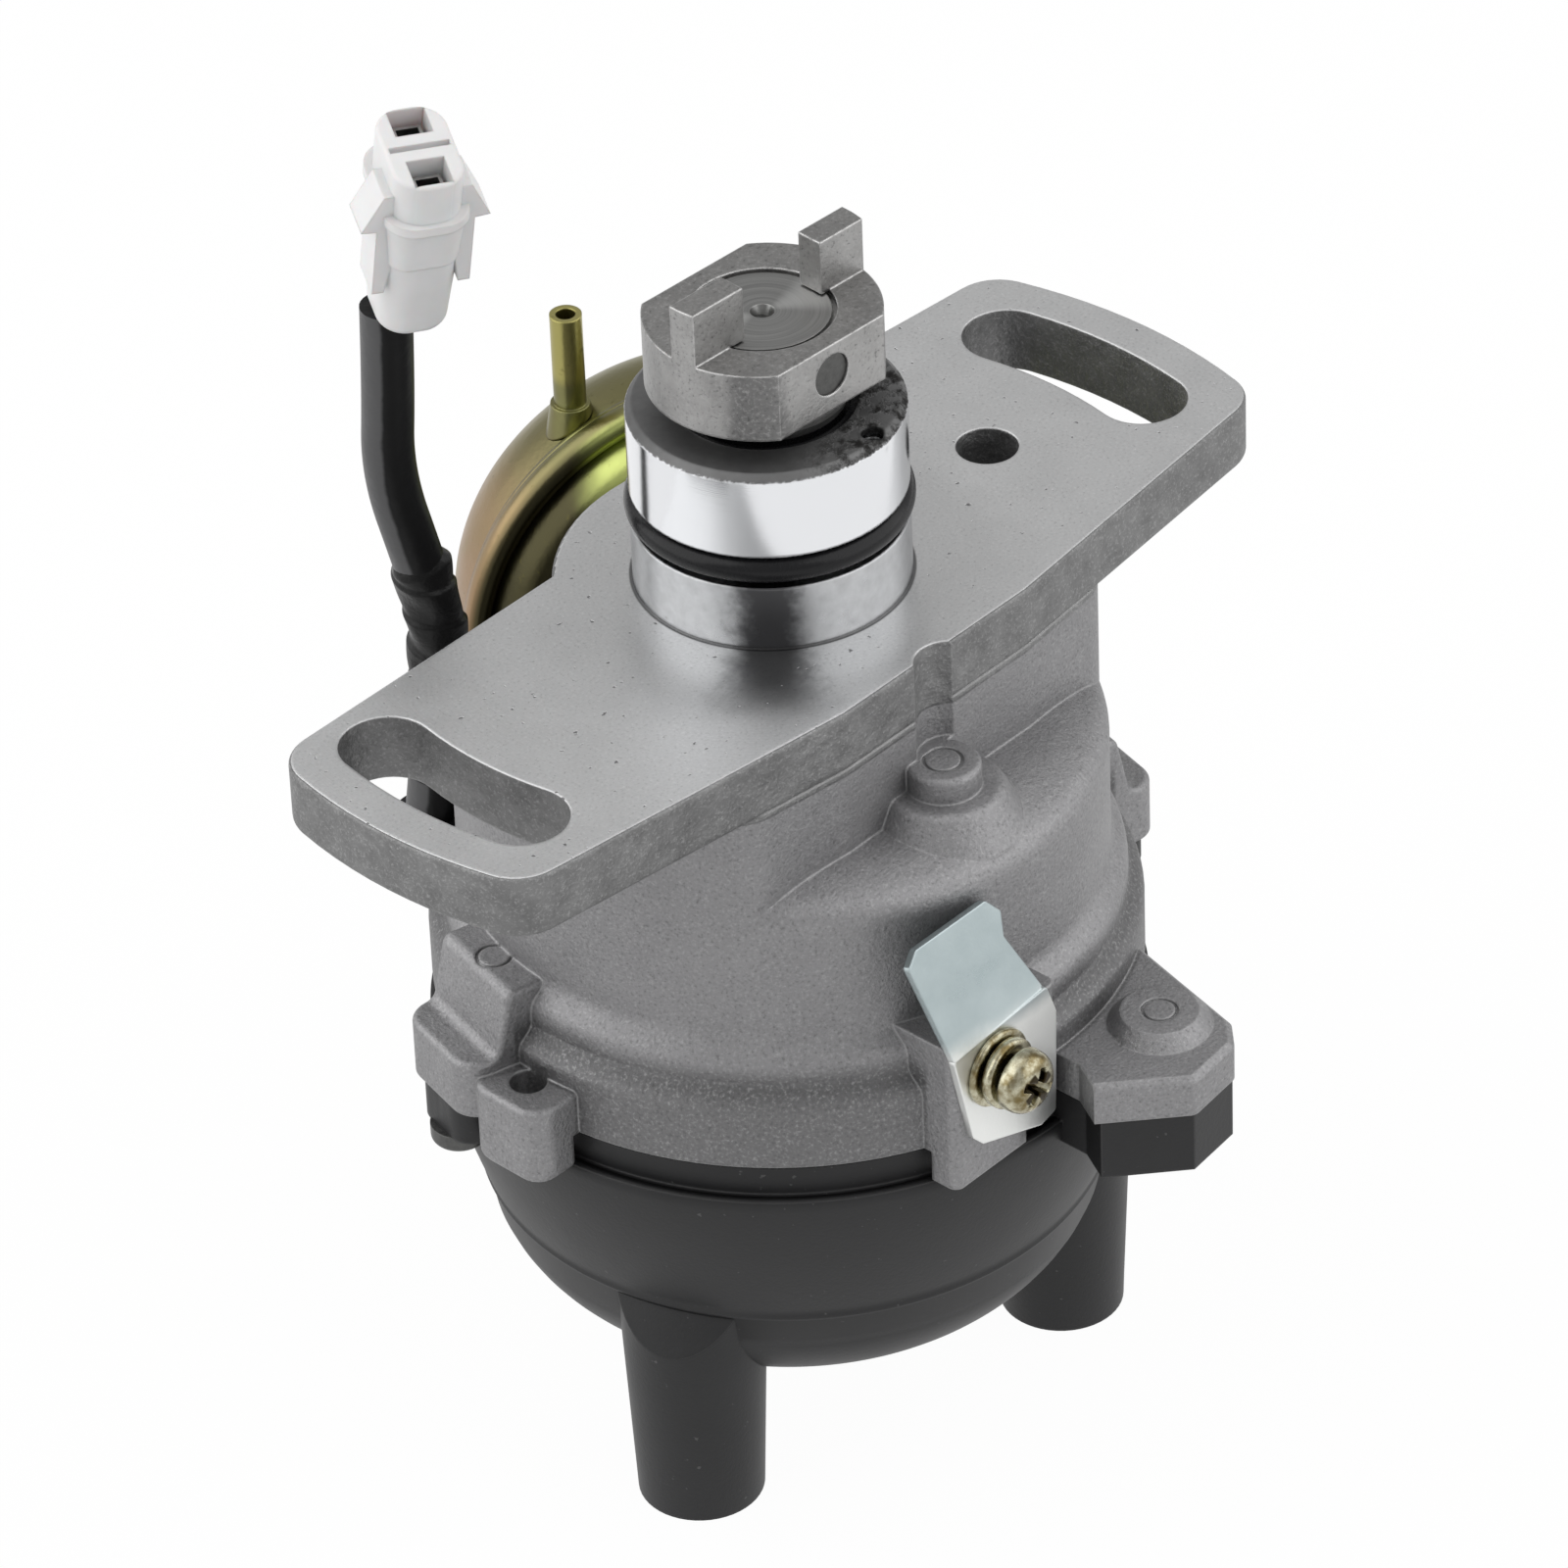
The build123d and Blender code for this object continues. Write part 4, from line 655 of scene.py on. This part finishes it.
phenolic = Finish("black_phenolic", Specular_IOR_Level=0.34)
mottle = phenolic.noise(0.014, 4.0, 0.6)
fine = phenolic.noise(0.0005, 3.0, 0.6)
dust = phenolic.rise(phenolic.noise(0.0009, 2.0), 0.71, 0.78)
phenolic.put(
    Base_Color=phenolic.coat(
        phenolic.mix(mottle, (0.008, 0.008, 0.0084), (0.022, 0.022, 0.0232)),
        (dust * 0.25, grey(0.20)),
        (phenolic.worn(0.0004) * 0.4, grey(0.11)),
    ),
    Roughness=0.40 + 0.16 * mottle,
    Normal=phenolic.bump(fine + 3.0 * mottle, 0.00003, 0.0005),
)
dress(phenolic, "cap", "rotor_arm", "carbon_button")
dress(rubber, "cap_gasket")

CAP_SHOULDER_R = 0.0423
CAP_SHOULDER_Z = -0.0588
CAP_FOOT_R = 0.0376
CAP_STEP_Z = -0.0802
CAP_DOME_R = 0.0371
CAP_DOME_TALL = 0.0184
CENTRE_TOWER_R = 0.0062
SKIN_T = 0.0004


def cap_line(inset):
    """Profile of the cap's flank and dome, moved in by inset.

    The flank narrows as the 1.5th power of its height, a small lip follows, and the dome
    is h / tall = (1 - (r / R) ** 3.3) ** (1 / 2) down to the middle tower.
    """
    share = np.linspace(0.02, 1.0, 20)
    flank = CAP_SHOULDER_R - (CAP_SHOULDER_R - CAP_FOOT_R) * share ** 1.5
    heights = CAP_SHOULDER_Z - 0.0001 + (CAP_STEP_Z + 0.0010 - CAP_SHOULDER_Z) * share
    lip = [
        (CAP_FOOT_R + 0.0001, CAP_STEP_Z + 0.0005),
        (CAP_FOOT_R - 0.0001, CAP_STEP_Z + 0.0001),
        (CAP_FOOT_R - 0.0004, CAP_STEP_Z - 0.0001),
    ]
    across = np.linspace(CAP_DOME_R, CENTRE_TOWER_R, 40)
    fall = CAP_DOME_TALL * (1.0 - (across / CAP_DOME_R) ** 3.3) ** 0.5
    under = np.stack([across, CAP_STEP_Z - fall], axis=-1)
    line = np.vstack([np.stack([flank, heights], axis=-1), lip, under])
    steps = np.gradient(line, axis=0)
    steps /= np.linalg.norm(steps, axis=1)[:, None]
    return line + inset * np.stack([steps[:, 1], -steps[:, 0]], axis=-1)


shoulder_round = [
    (CAP_SHOULDER_R - 0.0012, CAP_SHOULDER_Z + 0.00005),
    (CAP_SHOULDER_R - 0.0003, CAP_SHOULDER_Z + 0.00004),
]
skin_line = np.vstack([shoulder_round, cap_line(0.0), cap_line(SKIN_T)[::-1]])
cap_skin = spin("cap_moulded_flank", skin_line, 256)
finish_piece(cap_skin, phenolic, "cap_plastic")

CORNER_BOSS = (0.01114, -0.04751, 0.0)
CORNER_BOSS_LINE = [
    (0.0039, -0.0617), (0.0039, -0.0655), (0.0044, -0.0660), (0.0056, -0.0661),
    (0.0063, -0.0657), (0.0066, -0.0649), (0.0070, -0.0617),
]
corner_boss = spin("cap_corner_boss", CORNER_BOSS_LINE, 96, CORNER_BOSS)
finish_piece(corner_boss, phenolic, "cap_plastic")


# ---------------------------------------------------------------- harness bracket
# A bent strip of bright zinc-plated sheet holds the engine harness. Its cross-head
# screw has a spring washer and a flat washer, all yellow passivated.

PAINTED_LIGHT_LEVEL = (-0.0335, -0.0375)

sheet = Finish("bright_zinc_sheet", Metallic=1.0)
z = sheet.axes()[2]
haze = sheet.noise(0.007, 4.0, 0.6)
# Painted light: the bracket's bottom part is made much lighter, as if lit.
lower = sheet.rise(z + haze * 0.004, *PAINTED_LIGHT_LEVEL)
sheet.put(
    Base_Color=sheet.coat(
        sheet.mix(haze, (0.34, 0.405, 0.415), (0.50, 0.565, 0.575)),
        (lower, (0.86, 0.87, 0.85)),
    ),
    Roughness=0.22 + 0.16 * haze + 0.16 * lower,
    Normal=sheet.bump(sheet.noise(0.0005), 0.00002, 0.0003),
)
dress(sheet, "harness_bracket")

BRACKET_SCREW = (-0.0126, -0.0433, -0.0428)
SCREW_HEAD_R = 0.0039
SCREW_HEAD_TALL = 0.0027
SCREW_SEAT = 0.0034
SCREW_EDGE = 0.0004
SCREW_SHANK_R = 0.00195
SCREW_SHANK_END = -0.0091
CROSS_TURN = math.radians(28.0)
CROSS_R = 0.0025
CROSS_DEEP = 0.0021
CROSS_HALF_ARM = 0.00062
CROSS_WALL = 0.00016
SUNK_ARM = (CROSS_HALF_ARM + 0.00004, CROSS_HALF_ARM - 0.00012)
SUNK_LEVEL = (-0.0466, -0.0469)
SUNK_REACH = (CROSS_R - 0.0001, CROSS_R - 0.0004)

pale_gold = Finish("pale_passivated_zinc", Metallic=1.0)
x, y, z = pale_gold.axes()
flush = pale_gold.noise(0.0018, 3.0, 0.6)
level = x - BRACKET_SCREW[0]
plumb = z - BRACKET_SCREW[2]
arm_a = level * math.cos(CROSS_TURN) + plumb * math.sin(CROSS_TURN)
arm_b = plumb * math.cos(CROSS_TURN) - level * math.sin(CROSS_TURN)
# Painted shade: the cross recess in the screw head is made nearly black.
painted_recess_shade = pale_gold.rise(abs(arm_a).least(abs(arm_b)), *SUNK_ARM) * pale_gold.rise(y, *SUNK_LEVEL)
painted_recess_shade = painted_recess_shade * pale_gold.rise(distance(level, plumb), *SUNK_REACH)
pale_gold.put(
    Base_Color=pale_gold.coat(
        pale_gold.mix(pale_gold.rise(flush, 0.32, 0.68), (0.17, 0.13, 0.055), (0.54, 0.52, 0.39)),
        (painted_recess_shade, (0.035, 0.026, 0.012)),
    ),
    Roughness=0.20 + 0.12 * flush,
    Normal=pale_gold.bump(flush, 0.00003, 0.0003),
)
screw_axes = np.array([(1.0, 0.0, 0.0), (0.0, 0.0, 1.0), (0.0, -1.0, 0.0)])


def cross_screw(name, columns=240):
    """Pan head screw, its head up from SCREW_SEAT along the third of screw_axes.

    The head is SCREW_HEAD_TALL * (1 - (r / R) ** 4) ** 0.4 high. Its cross recess deepens
    toward the middle, where |a| or |b| in the turned axes a and b is under CROSS_HALF_ARM.
    """
    across = SCREW_HEAD_R * np.linspace(0.0, 1.0, 90)
    pan = SCREW_HEAD_TALL * (1.0 - (across / SCREW_HEAD_R) ** 4) ** 0.4
    rest = [
        (SCREW_HEAD_R, SCREW_SEAT + SCREW_EDGE / 2),
        (SCREW_HEAD_R - 0.0003, SCREW_SEAT),
        (SCREW_SHANK_R, SCREW_SEAT),
        (SCREW_SHANK_R, SCREW_SHANK_END),
        (0.0, SCREW_SHANK_END),
    ]
    profile = np.vstack([np.stack([across, SCREW_SEAT + SCREW_EDGE + pan], axis=-1), rest])
    angle = np.linspace(0.0, 2 * np.pi, columns, endpoint=False)[None, :]
    out = profile[:, :1] + 0.0 * angle
    a = np.abs(out * np.cos(angle + CROSS_TURN))
    b = np.abs(out * np.sin(angle + CROSS_TURN))
    arm = np.clip((CROSS_HALF_ARM - np.minimum(a, b)) / CROSS_WALL, 0.0, 1.0)
    sink = CROSS_DEEP * np.clip(1.0 - (out / CROSS_R) ** 2, 0.0, 1.0) ** 0.7 * arm
    sink = sink * (profile[:, 1:] > SCREW_SEAT + SCREW_EDGE + 0.0001)
    place = np.stack([out * np.cos(angle), out * np.sin(angle), profile[:, 1:] - sink], axis=-1)
    return surface(name, place @ screw_axes + np.array(BRACKET_SCREW), closed_v=True)


finish_piece(cross_screw("bracket_screw_pan"), pale_gold, "yellow_zinc", "bracket_screw")

FLAT_BORE_R = 0.0022
FLAT_R = 0.0048
FLAT_T = 0.0008
SPLIT_BORE_R = 0.00225
SPLIT_R = 0.0042
SPLIT_T = 0.0013
SPLIT_GAP = 0.10
SPLIT_RISE = 0.0012


def washer_section(bore, reach, foot, top, chamfer=0.0002):
    """Section of a washer, a rectangle with its two outer corners cut."""
    return np.array([
        (bore, foot), (reach - chamfer, foot), (reach, foot + chamfer),
        (reach, top - chamfer), (reach - chamfer, top), (bore, top),
    ])


flat_section = washer_section(FLAT_BORE_R, FLAT_R, 0.0, FLAT_T)
flat_ring = spin("flat_washer_ring", flat_section, 128, BRACKET_SCREW, screw_axes)
finish_piece(flat_ring, pale_gold, "yellow_zinc", "flat_washer")

split_section = washer_section(SPLIT_BORE_R, SPLIT_R, FLAT_T, FLAT_T + SPLIT_T)
split_ring = helix("split_washer_turn", split_section, 1, SPLIT_RISE,
                   BRACKET_SCREW, screw_axes, SPLIT_GAP)
finish_piece(split_ring, pale_gold, "yellow_zinc", "spring_washer")


# ---------------------------------------------------------------- pickup lead
# Two pickup wires in a black vinyl sleeve leave the bowl through an elbow grommet
# and stand up beside the flange to a white two-way plug. Tape is wound on the sleeve.

LEAD_R = 0.00305
LEAD_POINTS = [
    (-0.02088, 0.0369, -0.0399),
    (-0.0199, 0.0356, -0.0270),
    (-0.0194, 0.0349, -0.0130),
    (-0.0209, 0.0361, -0.0036),
    (-0.0231, 0.0380, 0.0090),
    (-0.0226, 0.0373, 0.0210),
    (-0.0224, 0.0370, 0.0318),
]
HIGHLIGHT_SIDE_WAY = (-0.686, 0.728, 0.0)

vinyl = Finish("black_vinyl", Specular_IOR_Level=0.16)
creases = vinyl.noise(0.004, 3.0, 0.6)
# Painted highlight: the sleeve is made lighter on one side, as if lit from there.
painted_side_highlight = vinyl.rise(vinyl.toward(vinyl.facing(), HIGHLIGHT_SIDE_WAY) + creases * 0.2, 0.22, 0.40)
vinyl.put(
    Base_Color=vinyl.mix(painted_side_highlight, (0.007, 0.007, 0.0072), (0.085, 0.085, 0.087)),
    Roughness=0.30 + 0.2 * creases,
    Normal=vinyl.bump(creases, 0.0002),
)


def lead_curve(name, thick):
    """Smooth curve along the lead's points, bare where thick is 0."""
    line = bpy.data.curves.new(name, "CURVE")
    line.dimensions = "3D"
    line.bevel_depth = thick
    line.bevel_resolution = 12
    line.resolution_u = 24
    line.use_fill_caps = True
    route = line.splines.new("NURBS")
    route.points.add(len(LEAD_POINTS) - 1)
    for point, place in zip(route.points, LEAD_POINTS):
        point.co = (*place, 1.0)
    route.order_u = 3
    route.use_endpoint_u = True
    return line


lead = bpy.data.objects.new("pickup_lead_sleeve", lead_curve("pickup_lead_sleeve", LEAD_R))
bpy.context.collection.objects.link(lead)
finish_piece(lead, vinyl, "lead_sleeve", "pickup_lead")
dress(rubber, "lead_grommet")

middle = bpy.data.objects.new("lead_middle", lead_curve("lead_middle", 0.0))
drawn_middle = bpy.data.meshes.new_from_object(middle)
track = np.zeros(3 * len(drawn_middle.vertices))
drawn_middle.vertices.foreach_get("co", track)
track = track.reshape(-1, 3)
bpy.data.objects.remove(middle)
bpy.data.meshes.remove(drawn_middle)

TAPE_TOP_Z = -0.0030
TAPE_END_Z = -0.0340
TAPE_PITCH = 0.0050
TAPE_R = LEAD_R + 0.00025
TAPE_SUNK_R = LEAD_R - 0.0002
TAPE_LAP_T = 0.00034
TAPE_TAPER = 0.0012
TAPE_WAVES = [(0.00016, 3, 0.0014), (0.00012, 2, -0.0023)]


def wrapped_tape(name, track, rows=220, columns=72):
    """Tape wound along a track, each turn lapped over the last.

    The radius is TAPE_R plus a step of TAPE_LAP_T, which grows over each turn of pitch
    TAPE_PITCH and falls at the lap's edge, plus waves of a height, a number of crests
    round the lead and a length along it. At the top it narrows into the sleeve.
    """
    run = np.r_[0.0, np.cumsum(np.linalg.norm(np.diff(track, axis=0), axis=1))]
    heights = np.linspace(TAPE_END_Z, TAPE_TOP_Z, rows)
    along = np.interp(heights, track[:, 2], run)
    place = np.stack([np.interp(along, run, track[:, axis]) for axis in range(3)], axis=-1)
    ahead = np.gradient(place, axis=0)
    ahead /= np.linalg.norm(ahead, axis=1)[:, None]
    first = np.cross(ahead, (0.0, 1.0, 0.0))
    first /= np.linalg.norm(first, axis=1)[:, None]
    second = np.cross(ahead, first)
    angle = np.linspace(0.0, 2 * np.pi, columns, endpoint=False)[None, :]
    along = along[:, None]
    lap = (along / TAPE_PITCH + angle / (2 * np.pi)) % 1.0
    bulge = TAPE_LAP_T * np.clip(lap / 0.86, 0.0, 1.0) * np.clip((1.0 - lap) / 0.10, 0.0, 1.0)
    for tall, crests, length in TAPE_WAVES:
        bulge = bulge + tall * np.sin(crests * angle + along / length)
    taper = np.clip((TAPE_TOP_Z - heights) / TAPE_TAPER, 0.0, 1.0)[:, None]
    reach = TAPE_SUNK_R + (TAPE_R - TAPE_SUNK_R + bulge) * taper
    points = place[:, None] + (reach * np.cos(angle))[..., None] * first[:, None]
    points = points + (reach * np.sin(angle))[..., None] * second[:, None]
    points[0] = place[0]
    end = np.repeat(place[-1:], columns, axis=0)[None]
    return surface(name, np.vstack([points, end]), closed_v=True)


tape_finish = Finish("glossy_black_tape", Base_Color=grey(0.006), Specular_IOR_Level=0.22)
puckers = tape_finish.noise(0.0012, 3.0, 0.6)
tape_finish.put(Roughness=0.26 + 0.16 * puckers, Normal=tape_finish.bump(puckers, 0.00015))
tape = wrapped_tape("lead_tape_wrap", track)
finish_piece(tape, tape_finish, "lead_sleeve")

nylon = Finish("white_nylon", Subsurface_Weight=0.15, Subsurface_Scale=0.0015)
cloudy = nylon.noise(0.005)
nylon.put(
    Base_Color=nylon.mix(cloudy, grey(0.63), grey(0.72)),
    Roughness=0.34 + 0.1 * nylon.noise(0.001),
    Normal=nylon.bump(cloudy, 0.00005, 0.0004),
)
dress(nylon, "plug_housing")

tinned = Finish("tinned_contact", Metallic=1.0)
dulled = tinned.noise(0.0007, 3.0, 0.6)
tinned.put(
    Base_Color=tinned.mix(dulled, (0.16, 0.16, 0.155), (0.52, 0.52, 0.51)),
    Roughness=0.25 + 0.2 * dulled,
)
dress(tinned, "plug_terminals")


# ---------------------------------------------------------------- stage
# The distributor stands on its cap's towers on a pale floor, in a white room. A large
# soft lamp stands on each side and a small one overhead.

FLOOR_Z = -0.111
FLOOR_REACH = 6.0
FLOOR_SHADOW = 0.03
WHITE = (1.0, 1.0, 1.0)

corners = np.array([(-1, -1, 0), (1, -1, 0), (1, 1, 0), (-1, 1, 0)]) * FLOOR_REACH
corners[:, 2] = FLOOR_Z
floor_mesh = bpy.data.meshes.new("floor")
floor_mesh.from_pydata(corners.tolist(), [], [(0, 1, 2, 3)])
floor = bpy.data.objects.new("floor", floor_mesh)
bpy.context.collection.objects.link(floor)
paper = Finish("white_paper", Base_Color=grey(0.8), Roughness=0.9, Specular_IOR_Level=0.0)
glow = paper.node("ShaderNodeEmission", {}, {"Color": WHITE, "Strength": 1.0})
glowing = paper.seen() * (1.0 - FLOOR_SHADOW)
paper.show(paper.node("ShaderNodeMixShader", {}, {0: glowing, 1: paper.lit, 2: glow}))
floor_mesh.materials.append(paper.material)

LAMP_AIM = (0.0, 0.0, -0.03)
LAMPS = {
    "left_box": ((-0.62, 0.63, 0.60), (1.7, 1.5), 12.0),
    "right_box": ((0.55, -0.80, 0.60), (1.8, 1.5), 10.0),
    "top_box": ((0.10, 0.10, 1.3), (0.9, 0.9), 2.0),
}
for name, (spot, size, power) in LAMPS.items():
    lamp = bpy.data.lights.new(name, "AREA")
    lamp.shape = "RECTANGLE"
    lamp.size, lamp.size_y = size
    lamp.energy = power
    holder = bpy.data.objects.new(name, lamp)
    holder.location = spot
    aim = Vector(LAMP_AIM) - Vector(spot)
    holder.rotation_euler = aim.to_track_quat("-Z", "Y").to_euler()
    bpy.context.collection.objects.link(holder)

ROOM_LIGHT = 0.5
ROOM_MIRRORED = 0.2

world = bpy.data.worlds.new("studio")
world.use_nodes = True
room = Shading(world.node_tree, "ShaderNodeOutputWorld")
light = room.node("ShaderNodeBackground", {}, {"Color": WHITE, "Strength": ROOM_LIGHT})
backdrop = room.node("ShaderNodeBackground", {}, {"Color": WHITE, "Strength": 1.0})
room.show(room.node("ShaderNodeMixShader", {}, {0: room.seen(ROOM_MIRRORED), 1: light, 2: backdrop}))
bpy.context.scene.world = world

CAMERA_PLACE = (-0.635513, -0.599233, 0.612723)
CAMERA_TILT, CAMERA_ROLL, CAMERA_TURN = 53.6266, -2.3568, -46.7
CAMERA_LENS = 215.25

lens = bpy.data.cameras.new("camera")
lens.lens = CAMERA_LENS
lens.sensor_width = 36.0
camera = bpy.data.objects.new("camera", lens)
facing = Euler((math.radians(CAMERA_TILT), 0.0, math.radians(CAMERA_TURN))).to_quaternion()
camera.rotation_mode = "QUATERNION"
camera.rotation_quaternion = facing @ Euler((0.0, 0.0, math.radians(CAMERA_ROLL))).to_quaternion()
camera.location = CAMERA_PLACE
bpy.context.collection.objects.link(camera)
bpy.context.scene.camera = camera
bpy.context.scene.view_settings.view_transform = "Standard"
